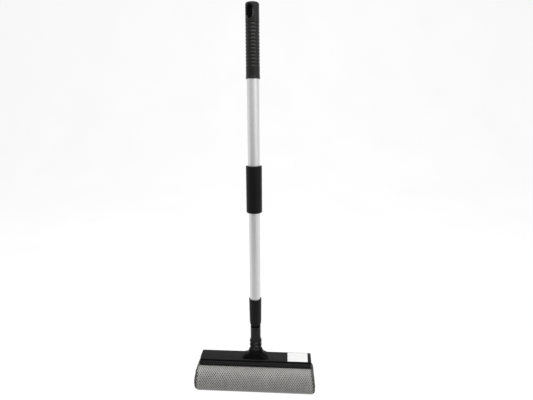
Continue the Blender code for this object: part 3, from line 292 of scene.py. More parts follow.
class Look:
    """A Principled material whose nodes are made by short calls. Textures run in the object's own metres."""

    def __init__(self, name, roughness=0.5, metallic=0.0, specular=0.5):
        self.material = bpy.data.materials.new(name)
        self.material.use_nodes = True
        self.tree = self.material.node_tree
        self.shader = self.tree.nodes["Principled BSDF"]
        self.shader.inputs["Roughness"].default_value = roughness
        self.shader.inputs["Metallic"].default_value = metallic
        self.shader.inputs["Specular IOR Level"].default_value = specular
        self.place = self.tree.nodes.new("ShaderNodeTexCoord").outputs["Object"]
        self.normal = None

    def node(self, kind, **inputs):
        node = self.tree.nodes.new(kind)
        for name, value in inputs.items():
            self.put(node.inputs[name], value)
        return node

    def put(self, socket, value):
        if isinstance(value, bpy.types.NodeSocket):
            self.tree.links.new(value, socket)
        else:
            socket.default_value = value

    def noise(self, scale, detail=3.0, roughness=0.55, stretch=(1, 1, 1)):
        place = self.node("ShaderNodeMapping", Vector=self.place, Scale=stretch).outputs["Vector"]
        settings = {"Vector": place, "Scale": scale, "Detail": detail, "Roughness": roughness}
        return self.node("ShaderNodeTexNoise", **settings).outputs["Fac"]

    def cells(self, scale, feature="F1"):
        node = self.node("ShaderNodeTexVoronoi", Vector=self.place, Scale=scale)
        node.feature = feature
        return node.outputs["Distance"]

    def ranged(self, value, low, high, low_out, high_out):
        node = self.node("ShaderNodeMapRange")
        for index, setting in enumerate((value, low, high, low_out, high_out)):
            self.put(node.inputs[index], setting)
        return node.outputs[0]

    def maths(self, operation, first, second):
        node = self.node("ShaderNodeMath")
        node.operation = operation
        self.put(node.inputs[0], first)
        self.put(node.inputs[1], second)
        return node.outputs[0]

    def blend(self, first, second, share):
        """This share of the first value and the rest of the second."""
        part = self.maths("MULTIPLY", first, share)
        rest = self.maths("MULTIPLY", second, 1 - share)
        return self.maths("ADD", part, rest)

    def ramp(self, value, first, second):
        """The colour between two (position, colour) stops."""
        node = self.node("ShaderNodeValToRGB", Fac=value)
        for element, (position, colour) in zip(node.color_ramp.elements, (first, second)):
            element.position = position
            element.color = (*colour, 1.0)
        return node.outputs["Color"]

    def colour(self, value):
        self.put(self.shader.inputs["Base Color"], value)

    def roughness(self, value):
        self.put(self.shader.inputs["Roughness"], value)

    def bump(self, height, strength, distance):
        node = self.node("ShaderNodeBump", Height=height, Strength=strength, Distance=distance)
        if self.normal is not None:
            self.tree.links.new(self.normal, node.inputs["Normal"])
        self.normal = node.outputs["Normal"]
        self.tree.links.new(self.normal, self.shader.inputs["Normal"])


def moulded(name, dark, light, roughness, grain, grain_scale, specular):
    """Moulded black plastic: a slow change of tone, a moulding grain and a slightly uneven gloss."""
    look = Look(name, roughness, specular=specular)
    cloud = look.noise(38, 3)
    look.colour(look.ramp(cloud, (0.3, dark), (0.72, light)))
    gloss = look.noise(160, 2)
    look.roughness(look.ranged(gloss, 0.3, 0.7, roughness - 0.05, roughness + 0.07))
    look.bump(look.noise(95, 2), 0.04, 0.0006)
    look.bump(look.cells(grain_scale, "SMOOTH_F1"), grain, 0.00012)
    return look.material


def aluminium_look():
    """Drawn aluminium tube: faint lines along the pole, slow stains and a satin anodised surface."""
    roughness = 0.46
    look = Look("drawn_aluminium", roughness, 1.0)
    lines = look.noise(900, 3, 0.6, (1, 1, 0.012))
    stains = look.noise(30, 4, 0.6, (1, 1, 0.6))
    tone = look.blend(lines, stains, 0.55)
    look.colour(look.ramp(tone, (0.3, (0.67, 0.67, 0.67)), (0.72, (0.75, 0.75, 0.75))))
    look.roughness(look.ranged(lines, 0.3, 0.7, roughness - 0.06, roughness + 0.08))
    look.bump(lines, 0.12, 0.00006)
    return look.material


def steel_look():
    """Zinc-plated steel with a fine spangle."""
    look = Look("zinc_steel", 0.34, 1.0)
    spangle = look.cells(900)
    look.colour(look.ramp(spangle, (0.1, (0.48, 0.49, 0.50)), (0.8, (0.66, 0.66, 0.67))))
    look.roughness(look.ranged(look.noise(1400, 2), 0.3, 0.7, 0.26, 0.44))
    look.bump(look.noise(1800, 3), 0.15, 0.00005)
    return look.material


def nylon_look():
    """Natural nylon, slightly uneven in tone."""
    look = Look("nylon", 0.48)
    look.colour(look.ramp(look.noise(120, 3), (0.3, (0.62, 0.60, 0.55)), (0.7, (0.74, 0.73, 0.68))))
    look.bump(look.noise(700, 3), 0.12, 0.00008)
    return look.material


def rubber_look():
    """Black rubber with a slight bloom drawn out along the blade."""
    look = Look("wiping_rubber", 0.62, specular=0.35)
    bloom = look.noise(55, 5, 0.6, (0.35, 1, 1))
    look.colour(look.ramp(bloom, (0.3, (0.010, 0.010, 0.010)), (0.75, (0.021, 0.021, 0.020))))
    look.roughness(look.ranged(bloom, 0.3, 0.7, 0.52, 0.72))
    look.bump(look.noise(1500, 3), 0.15, 0.00006)
    return look.material


def foam_look():
    """Dark open-cell foam: pores of two sizes, with painted shade darkening their depths."""
    look = Look("dark_foam", 0.95, specular=0.2)
    pores = look.cells(520)
    fine = look.cells(1300)
    both = look.blend(pores, fine, 0.65)
    # Painted shade: the colour darkens toward the pores' depths
    look.colour(look.ramp(both, (0.12, (0.13, 0.127, 0.12)), (0.62, (0.055, 0.0535, 0.051))))
    look.bump(look.maths("SUBTRACT", 1.0, pores), 0.8, 0.0009)
    look.bump(look.maths("SUBTRACT", 1.0, fine), 0.5, 0.0004)
    return look.material


def net_look():
    """Spun thread: a fine twist, fuzz and slight greying."""
    look = Look("net_thread", 0.78, specular=0.3)
    dirt = look.noise(60, 4, 0.6)
    fibres = look.noise(2600, 3, 0.6, (1, 1, 0.4))
    tone = look.blend(dirt, fibres, 0.5)
    look.colour(look.ramp(tone, (0.3, (0.25, 0.247, 0.236)), (0.7, (0.39, 0.385, 0.37))))
    look.shader.inputs["Sheen Weight"].default_value = 0.25
    look.bump(fibres, 0.5, 0.00015)
    return look.material


def paper_look():
    """White label paper with a faint fibre."""
    look = Look("label_paper", 0.62, specular=0.4)
    fibre = look.noise(1400, 4, 0.6)
    look.colour(look.ramp(fibre, (0.3, (0.57, 0.57, 0.567)), (0.7, (0.63, 0.63, 0.626))))
    look.bump(fibre, 0.12, 0.00005)
    return look.material


# Each black plastic: its darkest and lightest tone, then roughness, strength and fineness of grain, and gloss
# Nearly black and dull: painted shade in the pockets and in the hanging hole
POCKET_SHADE_BLACK = moulded("pocket_shade_black", (0.001, 0.001, 0.001), (0.002, 0.002, 0.002), 0.7, 0.3, 1500, 0.06)
GRIP_BLACK = moulded("grip_black", (0.005, 0.0049, 0.0046), (0.008, 0.0078, 0.0073), 0.36, 0.12, 1500, 0.30)
# A mid grey painted highlight along the right side of the front pocket's rim
RIM_PAINTED_HIGHLIGHT = moulded("rim_painted_highlight", (0.115, 0.114, 0.110), (0.150, 0.148, 0.143), 0.34, 0.1, 1500, 0.40)
SATIN_BLACK = moulded("satin_black", (0.003, 0.003, 0.0033), (0.006, 0.006, 0.0065), 0.42, 0.15, 1300, 0.14)
GLOSS_BLACK = moulded("head_black", (0.004, 0.0039, 0.0043), (0.008, 0.0078, 0.0084), 0.36, 0.12, 1100, 0.09)
# A darker, glossier copy of the head's black for the socket: painted shade
SOCKET_SHADE_BLACK = moulded("socket_shade_black", (0.0015, 0.0015, 0.0018), (0.003, 0.0029, 0.0034), 0.24, 0.03, 1100, 0.27)
# A darker, duller copy of the head's black for the flare: painted shade
FLARE_SHADE_BLACK = moulded(
    "flare_shade_black", (0.0012, 0.0012, 0.0015), (0.0025, 0.0024, 0.0029), 0.24, 0.05, 1100, 0.06
)
# Black rubber, darkened further and left almost without gloss: painted shade in the joint between ferrule and
# neck
WASHER_SHADE_BLACK = moulded("washer_shade_black", (0.001, 0.001, 0.001), (0.002, 0.002, 0.002), 0.8, 0.1, 1100, 0.03)
ALUMINIUM = aluminium_look()
STEEL = steel_look()
NYLON = nylon_look()
RUBBER = rubber_look()
FOAM = foam_look()
NET = net_look()
PAPER = paper_look()


def finish_piece(obj, body, material, slot, *nodes):
    """Puts a piece on its body in place of these solids, with this material unless it has several already."""
    if len(obj.data.materials) < 2:
        obj.data.materials.clear()
        obj.data.materials.append(material)
    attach(obj, body)
    if nodes:
        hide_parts(*nodes)
    return obj


# The pole

# The pockets on both sides of the hanging hole, and the hole itself
HANG_ANGLE = math.radians(-90 - 24)
HOLE_RADIUS = 0.0048
POCKET_HALF = 0.0069
POCKET_RISE = 0.0055
POCKET_LENGTH = 0.022
POCKET_FLOOR = 0.00775
POCKET_BLEND = 0.0012
POCKET_DROPS = (0.0025, 0.03)
POCKET_DEPTH = 0.0085
POCKET_FOOT = -0.018

# The painted highlight on the front pocket's rim: how far into the opening, how high and how far to the side
RIM_HIGHLIGHT_SHARE = (0.02, 0.95)
RIM_HIGHLIGHT_HEIGHT = (-0.0135, -0.001)
RIM_HIGHLIGHT_SIDE = 0.004

# The grip's round top edge, its grooves and the ribs between them, and the lip at its foot
CROWN = 0.003
GROOVE_COUNT = 13
FIRST_GROOVE = 0.0335
GROOVE_PITCH = 0.00565
GROOVE_DEPTH = 0.00052
GROOVE_ABOVE = 0.0009
GROOVE_BELOW = 0.0021
RIB_SWELL = 0.00012
RIB_BLEND = 0.0012
LAST_SWELL = 0.00016
LAST_SWELL_DROP = 0.1041
LAST_SWELL_BLEND = 0.003
LIP_DROP = GRIP_LENGTH - 0.0045
LIP_STEPS = ((-0.0001, -0.0002), (0.0, -0.0002), (0.0002, 0.0001), (0.0005, 0.0003), (0.0038, 0.0003))


def grip_radius(drop):
    """The grip's outer radius this far below its top, without its ribs."""
    return GRIP_BORE + 0.0007 + drop / GRIP_LENGTH * 0.0004


def pocket_share(angle, z, radius):
    """How far into a pocket's opening a point of the grip's surface is, from 0 outside to 1 inside."""
    best = 0.0
    for side in (HANG_ANGLE, HANG_ANGLE + math.pi):
        turn = math.atan2(math.sin(angle - side), math.cos(angle - side))
        if abs(turn) > math.pi / 2.2:
            continue
        across = radius * math.sin(turn)
        high = POCKET_RISE - POCKET_HALF
        low = POCKET_RISE - POCKET_LENGTH + POCKET_HALF
        past = max(z - high, low - z, 0)
        inside = POCKET_HALF - math.hypot(across, past)
        share = min(max(inside / POCKET_BLEND + 0.5, 0), 1)
        best = max(best, share * share * (3 - 2 * share))
    return best


def sunk_radius(radius, angle, z):
    """The grip's radius here, drawn in to the pocket's flat floor as far as the pocket is open."""
    share = pocket_share(angle, z, radius)
    near = min(abs(math.cos(angle - HANG_ANGLE)), 1)
    floor = min(POCKET_FLOOR / max(near, 0.3), radius)
    return radius + (floor - radius) * share


def grip_levels():
    """(drop, radius) down the grip's outer side, with round ribs between the grooves."""
    levels = []
    for sine, cosine in quarter(8):
        drop = CROWN * (1 - cosine)
        levels.append((drop, grip_radius(drop) - CROWN * (1 - sine)))
    drop = CROWN + 0.0003
    while drop < FIRST_GROOVE - GROOVE_PITCH / 2:
        levels.append((drop, grip_radius(drop)))
        drop += 0.00035
    for groove in range(GROOVE_COUNT):
        middle = FIRST_GROOVE + groove * GROOVE_PITCH
        for step in range(-6, 6):
            offset = step / 12 * GROOVE_PITCH
            reach = GROOVE_ABOVE if offset < 0 else GROOVE_BELOW
            inside = min(abs(offset) / reach, 1)
            dip = GROOVE_DEPTH * (1 - inside) ** 1.2
            past = min(max((abs(offset) - reach) / RIB_BLEND, 0), 1)
            levels.append((middle + offset, grip_radius(middle + offset) - dip + RIB_SWELL * past))
    drop = FIRST_GROOVE + (GROOVE_COUNT - 1) * GROOVE_PITCH + GROOVE_PITCH / 2
    while drop < LIP_DROP - 0.0001:
        swell = LAST_SWELL * max(0, 1 - (drop - LAST_SWELL_DROP) / LAST_SWELL_BLEND)
        levels.append((drop, grip_radius(drop) + swell))
        drop += 0.0014
    levels += [(LIP_DROP + past, grip_radius(LIP_DROP) + stand) for past, stand in LIP_STEPS]
    levels.append((GRIP_LENGTH - 0.0002, grip_radius(GRIP_LENGTH) + 0.0002))
    levels.append((GRIP_LENGTH, grip_radius(GRIP_LENGTH) - 0.0001))
    return levels


def grip_shape():
    """The grip without its hole: rings over the closed top, down the outside and up the bore to its end."""
    segments = 160
    levels = grip_levels()
    rounds = [(share * levels[0][1], 0.0) for share in (0.35, 0.7, 0.9)]
    rounds += [(radius, drop) for drop, radius in levels]
    rounds += [(GRIP_BORE, GRIP_LENGTH), (GRIP_BORE, BORE_END)]
    vertices, rings, faces = [(0, 0, GRIP_TOP)], [], []
    for radius, drop in rounds:
        z = GRIP_TOP - drop
        rings.append(list(range(len(vertices), len(vertices) + segments)))
        for index in range(segments):
            angle = math.tau * index / segments
            reach = radius
            if POCKET_DROPS[0] < drop < POCKET_DROPS[1]:
                reach = sunk_radius(radius, angle, z)
            vertices.append((reach * math.cos(angle), reach * math.sin(angle), z))
    end = len(vertices)
    vertices.append((0, 0, GRIP_TOP - BORE_END))
    for index in range(segments):
        following = (index + 1) % segments
        faces.append((0, rings[0][index], rings[0][following]))
        for upper, lower in zip(rings, rings[1:]):
            faces.append((upper[index], lower[index], lower[following], upper[following]))
        faces.append((rings[-1][index], end, rings[-1][following]))
    return from_lists("grip_moulding", vertices, faces, 60)


def grip_black(centre, way):
    """The number of a face's black: 0 for the grip, 1 for the pockets, which carry painted shade, 2 for the
    painted highlight on the rim in front.
    """
    x, y, z = centre
    share = pocket_share(math.atan2(y, x), z, grip_radius(0.0) - 0.0001)
    beside = y * way.x - x * way.y
    on_rim = RIM_HIGHLIGHT_SHARE[0] < share < RIM_HIGHLIGHT_SHARE[1] and RIM_HIGHLIGHT_HEIGHT[0] < z < RIM_HIGHLIGHT_HEIGHT[1]
    if on_rim and beside > RIM_HIGHLIGHT_SIDE and y < 0:
        return 2
    depth = abs(x * way.x + y * way.y)
    return 1 if math.hypot(x, y) < GRIP_BORE and depth < POCKET_DEPTH and z > POCKET_FOOT else 0


def grip():
    obj = grip_shape()
    way = Vector((math.cos(HANG_ANGLE), math.sin(HANG_ANGLE), 0))
    hole = rod_between("hang_hole", way * -0.02, way * 0.02, HOLE_RADIUS, 64)
    for shape in (obj, hole):
        for black in (GRIP_BLACK, POCKET_SHADE_BLACK, RIM_PAINTED_HIGHLIGHT):
            shape.data.materials.append(black)
        for polygon in shape.data.polygons:
            polygon.material_index = 1 if shape is hole else grip_black(polygon.center, way)
    boolean(obj, "DIFFERENCE", [hole], 50)
    return finish_piece(obj, "upper_pole", GRIP_BLACK, "black_grip", "grip")


def tube(name, body, node, radius, wall):
    low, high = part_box(node)
    inner, edge, steps = radius - wall, 0.0001, 24
    profile = [(inner, high.z), (radius - edge, high.z), (radius, high.z - edge)]
    profile += [(radius, high.z + (low.z - high.z) * step / steps) for step in range(1, steps)]
    profile += [(radius, low.z + edge), (radius - edge, low.z), (inner, low.z)]
    obj = lathe(name, profile, 128)
    return finish_piece(obj, body, ALUMINIUM, "aluminium", node)


def spot(obj, rivet_box, surface):
    """Cuts the flat under a rivet's head and the hole for its shank."""
    low, high = rivet_box
    z = (low.z + high.z) / 2
    outside = surface + 0.003
    seat = high.y - RIVET_HEAD - GAP
    face = rod_between("spot_face", (0, seat, z), (0, outside, z), RIVET_RADIUS, 48)
    hole = rod_between("rivet_hole", (0, low.y - 0.001, z), (0, outside, z), RIVET_HOLE)
    boolean(obj, "DIFFERENCE", [face, hole])


def mid_sleeve():
    profile = rounded(
        [
            ((GRIP_BORE, SLEEVE_TOP), 0.0002),
            ((SLEEVE_RADIUS, SLEEVE_TOP), 0.001),
            ((SLEEVE_RADIUS, SLEEVE_FOOT), 0.0021),
            ((BUSH_SEAT_RADIUS, SLEEVE_FOOT), 0.0001),
            ((BUSH_SEAT_RADIUS, SLEEVE_FOOT + BUSH_SEAT_DEPTH), 0),
            ((GRIP_BORE, SLEEVE_FOOT + BUSH_SEAT_DEPTH), 0),
        ]
    )
    body = []
    for index, point in enumerate(profile):
        body.append(point)
        following = profile[(index + 1) % len(profile)]
        if (following - point).length > 0.05 and point[0] > 0.014:
            body += [point.lerp(following, step / 12) for step in range(1, 12)]
    obj = lathe("sleeve_moulding", body, 128)
    spot(obj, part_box("sleeve_rivet"), surface=SLEEVE_RADIUS)
    return finish_piece(obj, "upper_pole", SATIN_BLACK, "black_satin", "mid_sleeve")


def ferrule():
    """A slightly tapered sleeve, rounded in at its foot and bored for the tube and the spigot."""
    rim, shoulder, foot = 0.01245, 0.01185, 0.0101
    bore, spigot_hole, spigot_top = 0.0107, 0.0076, FERRULE_FOOT + 0.0165
    edge, cone = 0.0006, 0.0115
    profile = [(bore, FERRULE_TOP - 0.0001), (bore + 0.0002, FERRULE_TOP), (rim - edge, FERRULE_TOP)]
    for sine, cosine in quarter(5, 1):
        profile.append((rim - edge + edge * sine, FERRULE_TOP - edge * (1 - cosine)))
    straight = FERRULE_TOP - FERRULE_FOOT - cone - edge
    for step in range(1, 12):
        share = step / 12
        profile.append((rim + (shoulder - rim) * share, FERRULE_TOP - edge - straight * share))
    for sine, cosine in quarter(14):
        profile.append((foot + (shoulder - foot) * cosine, FERRULE_FOOT + cone * (1 - sine)))
    profile += [(foot - 0.0002, FERRULE_FOOT), (spigot_hole, FERRULE_FOOT)]
    profile += [(spigot_hole, spigot_top), (bore, spigot_top)]
    obj = lathe("ferrule_moulding", profile, 128)
    spot(obj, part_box("ferrule_rivet"), surface=0.0121)
    return finish_piece(obj, "lower_pole", SATIN_BLACK, "black_satin", "ferrule")


def washer():
    low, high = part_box("thread_washer")
    radius = high.x
    corners = [
        ((THREAD_HOLE, high.z), 0.0002),
        ((radius, high.z), 0.0005),
        ((radius, low.z), 0.0005),
        ((THREAD_HOLE, low.z), 0.0002),
    ]
    obj = lathe("rubber_washer", rounded(corners), 96)
    return finish_piece(obj, "thread_washer", WASHER_SHADE_BLACK, "rubber", "thread_washer")


# The head

RIB_BAYS = 8
BOSSES = (1, 3, 5, 7)
BOSS_RADIUS = 0.0033
BOSS_HOLE = 0.0013
BOSS_HOLE_DEPTH = 0.0125
HALF_RIB = 0.0008
INNER_LENGTH = 2 * HEAD_HALF - 2 * HEAD_WALL
SCREW_LINE = BAY_FRONT + GAP + 0.0100
SPARE = 0.002


def head_outline():
    return rounded(
        [
            (RIDGE, 0.0015),
            (FRONT_EDGE, 0.0006),
            (LIP_FOOT, 0.0003),
            ((LIP_FOOT[0] + SHADOW_DEPTH, LIP_FOOT[1]), 0),
            ((LEG_TOP[0] + SHADOW_DEPTH, LEG_TOP[1]), 0),
            (LEG_TOP, 0.0003),
            (LEG_FOOT, 0.0003),
            ((BLOCK_FOOT[0] - abs(BLOCK_FOOT[1] - UNDERSIDE), UNDERSIDE), 0),
            (BLOCK_FOOT, 0.0004),
            (JAW_FOOT, 0.0006),
            (JAW_TOP, 0.0006),
        ],
        5,
    )


def socket_profile():
    """The neck and the wider round base under it, whose two grooves each end in a bead."""
    neck_edge, base_edge, bead = 0.0007, 0.0005, 0.0006
    profile = [(0, NECK_TOP), (NECK_RADIUS - neck_edge, NECK_TOP)]
    for sine, cosine in quarter(5, 1):
        profile.append((NECK_RADIUS - neck_edge * (1 - sine), NECK_TOP - neck_edge * (1 - cosine)))
    profile += [(NECK_RADIUS, NECK_TOP - 0.012), (NECK_RADIUS, BASE_TOP + 0.0003)]
    profile.append((NECK_RADIUS + 0.0002, BASE_TOP))
    for sine, cosine in quarter(6):
        profile.append((BASE_RADIUS - base_edge * (1 - sine), BASE_TOP - base_edge * (1 - cosine)))
    for top in (BASE_TOP - 0.0022, BASE_TOP - 0.0103):
        profile += [(BASE_RADIUS, top + 0.0006), (BASE_RADIUS - 0.0002, top + 0.0002)]
        for share in (0, 0.12, 0.5, 0.88):
            profile.append((BASE_RADIUS - 0.0004 + 0.001 * share, top - 0.0002 - 0.001 * share))
        for sine, cosine in quarter(6):
            profile.append((BASE_RADIUS + bead * cosine**2, top - 0.0014 - 0.0014 * sine))
    return profile + [(BASE_RADIUS, BASE_FOOT - 0.001), (0, BASE_FOOT - 0.001)]


def flare():
    """Rings that open from the round base into a broad foot over the roof, squarer as they go down."""
    rings, segments = 36, 128
    overlap, depth = 0.0011, 0.0203
    vertices = []
    for ring in range(rings + 1):
        share = ring / rings
        drop = (depth + overlap) * share
        half_x = BASE_RADIUS + 0.0026 * (1 - math.exp(-drop / 0.0022)) + 0.0305 * share**3.3
        half_y = BASE_RADIUS + 0.0024 * share**2
        power = 2 / (2 + 2.6 * share**2)
        for cosine, sine in circle(segments):
            x = half_x * math.copysign(abs(cosine) ** power, cosine)
            y = half_y * math.copysign(abs(sine) ** power, sine)
            vertices.append((x, y, BASE_FOOT + overlap - drop))
    return from_lists("flare", vertices, loft_faces(rings + 1, segments))


def ridge_end(side):
    """What rounds the roof's upper corner off at one end of the head."""
    radius = 0.0075
    outline = [(HEAD_HALF + SPARE, SPARE), (HEAD_HALF + SPARE, -radius)]
    for sine, cosine in quarter(16):
        outline.append((HEAD_HALF - radius + radius * cosine, radius * (sine - 1)))
    outline.append((HEAD_HALF - radius, SPARE))
    vertices = []
    for y in (FRONT_EDGE[0] - SPARE, JAW_TOP[0] + SPARE):
        vertices += [(side * x, y, z + RIDGE_HEIGHT) for x, z in outline]
    return from_lists("ridge_end", vertices, loft_faces(2, len(outline)))


def add_socket(shell):
    """Joins the socket and the flare to the shell. Each of the three keeps its own copy of one black; the
    socket's and the flare's copies are darker, as painted shade.
    """
    for number, shape in enumerate((shell, lathe("socket", socket_profile(), 128), flare())):
        for black in (GLOSS_BLACK, SOCKET_SHADE_BLACK, FLARE_SHADE_BLACK):
            shape.data.materials.append(black)
        for polygon in shape.data.polygons:
            polygon.material_index = number
        if number:
            boolean(shell, "UNION", [shape])


def hollows():
    """The spaces under the roof, with a rib left between each two."""
    front = LIP_FOOT[0] + SHADOW_DEPTH + HEAD_WALL
    rear = SLOT_FLOOR[0] - SLOT_FLOOR_WIDTH / 2 - HEAD_WALL / 2
    roof_drop = HEAD_WALL / math.cos(ROOF_TILT)
    back_drop = HEAD_WALL / math.cos(BACK_TILT)
    below = RIB_FOOT - 0.001
    section = [
        (front, below),
        (BAY_REAR, below),
        (rear, SLOT_FLOOR[1] + HEAD_WALL),
        (rear, -(rear - RIDGE[0]) * math.tan(BACK_TILT) - back_drop),
        (RIDGE[0], -max(roof_drop, back_drop)),
        (front, -(RIDGE[0] - front) * math.tan(ROOF_TILT) - roof_drop),
    ]
    edges = [along_head(number) for number in range(RIB_BAYS + 1)]
    edges[0] -= HALF_RIB
    edges[-1] += HALF_RIB
    tools = []
    for number, (start, end) in enumerate(zip(edges, edges[1:])):
        tools.append(prism(f"pocket_{number}", section, start + HALF_RIB, end - HALF_RIB))
    return tools


def along_head(number):
    """Where this rib stands along the head."""
    return INNER_LENGTH * number / RIB_BAYS - INNER_LENGTH / 2


def lower_cuts():
    """The sponge's bay, the screws' holes, the tapering slot for the blade and the bore for the spigot."""
    bay = [
        (BAY_FRONT, UNDERSIDE - SPARE),
        (BAY_REAR, UNDERSIDE - SPARE),
        (BAY_REAR, RIB_FOOT),
        (BAY_FRONT, RIB_FOOT),
    ]
    tools = [prism("bay", bay, -INNER_LENGTH / 2, INNER_LENGTH / 2)]
    low = RIDGE_HEIGHT + RIB_FOOT - SPARE
    for number in BOSSES:
        start = Vector((along_head(number), SCREW_LINE, low))
        end = start + Vector((0, 0, BOSS_HOLE_DEPTH))
        tools.append(rod_between("boss_hole", start, end, BOSS_HOLE, 24))
    mouth = [along(SLOT_MOUTH, ACROSS_BLADE, side * SLOT_MOUTH_WIDTH / 2) for side in (1, -1)]
    slot = [
        along(SLOT_FLOOR, ACROSS_BLADE, -SLOT_FLOOR_WIDTH / 2),
        along(SLOT_FLOOR, ACROSS_BLADE, SLOT_FLOOR_WIDTH / 2),
        mouth[0],
        along(mouth[0], BLADE_TILT, SPARE),
        along(mouth[1], BLADE_TILT, SPARE),
        mouth[1],
    ]
    tools.append(prism("slot", slot, -HEAD_HALF - SPARE, HEAD_HALF + SPARE))
    thread_foot, core = NECK_TOP - 0.039, 0.005
    bore = [(0, NECK_TOP + SPARE), (THREAD_HOLE, NECK_TOP + SPARE), (THREAD_HOLE, thread_foot)]
    bore += [(core, thread_foot - 0.0027), (core, low), (0, low)]
    tools.append(lathe("bore", bore, 64))
    return tools


def head_body():
    """The head's moulding: shell, socket and flare in one, hollow below, with ribs, bosses, bay and slot."""
    shell = prism("head_moulding", head_outline(), -HEAD_HALF, HEAD_HALF)
    boolean(shell, "DIFFERENCE", [ridge_end(-1), ridge_end(1)])
    bevelled(shell, 0.0007, 4, 55)
    add_socket(shell)
    boolean(shell, "DIFFERENCE", hollows())
    low = RIDGE_HEIGHT + RIB_FOOT - SPARE
    under_roof = (RIDGE[0] - SCREW_LINE + BOSS_RADIUS) * math.tan(ROOF_TILT) + HEAD_WALL / 2
    for number in BOSSES:
        x = along_head(number)
        start, end = (x, SCREW_LINE, low), (x, SCREW_LINE, RIDGE_HEIGHT - under_roof)
        boolean(shell, "UNION", [rod_between("boss", start, end, BOSS_RADIUS)])
    boolean(shell, "DIFFERENCE", lower_cuts(), 30)
    return finish_piece(shell, "head", GLOSS_BLACK, "black_moulding", "head_body")


def clamp_strip():
    """The strip over the net's edge, with two round ridges along its face and a hook in the shadow groove."""
    outward, down = LEG_TILT + math.pi / 2, LEG_TILT + math.pi
    thickness, length = 0.002, LEG_LENGTH + 0.0006
    ridge_half, ridge_height = 0.0007, 0.0005
    inner_top = along(LEG_TOP, outward, GAP)
    inner_foot = along(inner_top, down, length)
    face_top = along(inner_top, outward, thickness)
    start = along(inner_top, down, -0.0007)
    hook = LEG_TOP[1] + GAP
    hook_top = hook + 0.0007
    corners = [
        (inner_foot, 0.0002),
        (Vector((LEG_TOP[0] - GAP, hook)), 0),
        (Vector((LEG_TOP[0] + 0.0012, hook)), 0.0001),
        (Vector((LEG_TOP[0] + 0.0012, hook_top)), 0.0001),
        (Vector((start[0], hook_top)), 0.0003),
        (face_top, 0.0005),
    ]
    outline = rounded(corners, 4)
    for share in (0.22, 0.62):
        ridge = along(face_top, down, length * share)
        for step in range(9):
            angle = math.pi * step / 8
            point = along(ridge, down, -ridge_half * math.cos(angle))
            outline.append(along(point, outward, ridge_height * math.sin(angle)))
    foot_corner = [(along(face_top, down, length), 0.0007), (inner_foot, 0), (face_top, 0)]
    outline += rounded(foot_corner, 5)[:6]
    obj = prism("net_clamp_strip", outline, -HEAD_HALF, HEAD_HALF, 24)
    bevelled(obj, 0.0003, 2, 60)
    return finish_piece(obj, "head", SATIN_BLACK, "black_satin", "clamp_strip")


# The sponge and its net

FOAM_HALF = 0.0295
FOAM_RISE = 0.0260
FOAM_FALL = 0.0280
FOAM_SHIFT = 0.0006
FOAM_EDGE = 0.0045
END_LEAN = 0.0040
END_LEAN_DEPTH = 0.028
END_BULGE = 0.0026
NET_OFFSET = 0.00078
NET_HALF = 0.113
NET_COLUMNS = 49
NET_ROWS = 24
NET_POINTS = 1200
EDGE_PULL = 0.6
STRAND_HALF_WIDTH = 0.00078
STRAND_HALF_HEIGHT = 0.00034
STRAND_WEAVE = 0.00024
NET_TUCK = 0.0016
TUCK_FRONT = BAY_FRONT - NET_TUCK
TUCK_REAR = BAY_REAR + NET_TUCK


def sponge_point(angle, offset):
    """The (y, z) point of the sponge's D-shaped section at this angle, grown by an offset."""
    across, upward = math.cos(angle), math.sin(angle)
    power = 2 / (2.6 if upward > 0 else 2.0)
    rise = FOAM_RISE if upward > 0 else FOAM_FALL
    y = FOAM_CENTRE[0] + (FOAM_HALF + offset) * math.copysign(abs(across) ** power, across)
    z = FOAM_CENTRE[1] + (rise + offset) * math.copysign(abs(upward) ** power, upward)
    return Vector((y, min(z, FOAM_TOP + offset)))


def end_lean(z, side):
    """How far the sponge's end on this side stands out at this height.

    Both ends lean outward to the foot, and the left one bulges a little where the strip presses it.
    """
    drop = min(max((FOAM_TOP - z) / END_LEAN_DEPTH, 0), 1)
    lean = 1 - (1 - drop) ** 2
    if side > 0:
        return END_LEAN * lean
    return 0.85 * END_LEAN * lean + END_BULGE * math.exp(-((drop / 0.1) ** 2))


def foam_rows():
    """(x, inset) of the foam's rings from end to end: the middle of one face, its round edge and so on."""
    inner, edge = 80, 9
    straight = NET_HALF + 0.0002
    into_face = (0.008, 0.016, 0.024)
    stations = []
    for step in range(edge):
        angle = (1 - step / edge) * math.pi / 2
        stations.append((straight + FOAM_EDGE * math.sin(angle), FOAM_EDGE * (1 - math.cos(angle))))
    end, inset = stations[0]
    rows = [(-end, inset + extra) for extra in reversed(into_face)]
    rows += [(-reach, inset) for reach, inset in stations]
    rows += [(straight * (2 * step / inner - 1), 0.0) for step in range(inner + 1)]
    rows += list(reversed(stations))
    rows += [(end, inset + extra) for extra in into_face]
    return rows, straight


def foam():
    """D-shaped foam with an uneven skin. Its ends lean outward to the foot and have round, worn edges."""
    around = 160
    rows, straight = foam_rows()
    vertices = []
    for x, inset in rows:
        scale = 1 - inset / FOAM_HALF
        dent = math.exp(-(((abs(x) - straight) / 0.002) ** 2)) if inset == 0 else 0.0
        share = min(max((abs(x) - straight + 0.03) / 0.03, 0), 1)
        for index in range(around):
            point = sponge_point(math.tau * index / around, 0)
            flat = point[1] > FOAM_TOP - 0.0002
            wave = noise.noise(Vector((x * 60, point[0] * 80, point[1] * 80)))
            swell = scale if flat else scale * (1 - (0.006 - 0.005 * wave + 0.010 * dent))
            y = FOAM_CENTRE[0] + (point[0] - FOAM_CENTRE[0]) * swell
            z = FOAM_CENTRE[1] + (point[1] - FOAM_CENTRE[1]) * swell
            rough = 0.0004 * noise.noise(Vector((x * 3, y * 130, z * 130)))
            reach = x + math.copysign((end_lean(z, x) + rough) * share, x) - FOAM_SHIFT
            vertices.append((reach, y, z + RIDGE_HEIGHT))
    obj = from_lists("sponge_foam", vertices, loft_faces(len(rows), around), 60)
    finish_piece(obj, "head", FOAM, "dark_foam", "foam_sponge")
    return obj


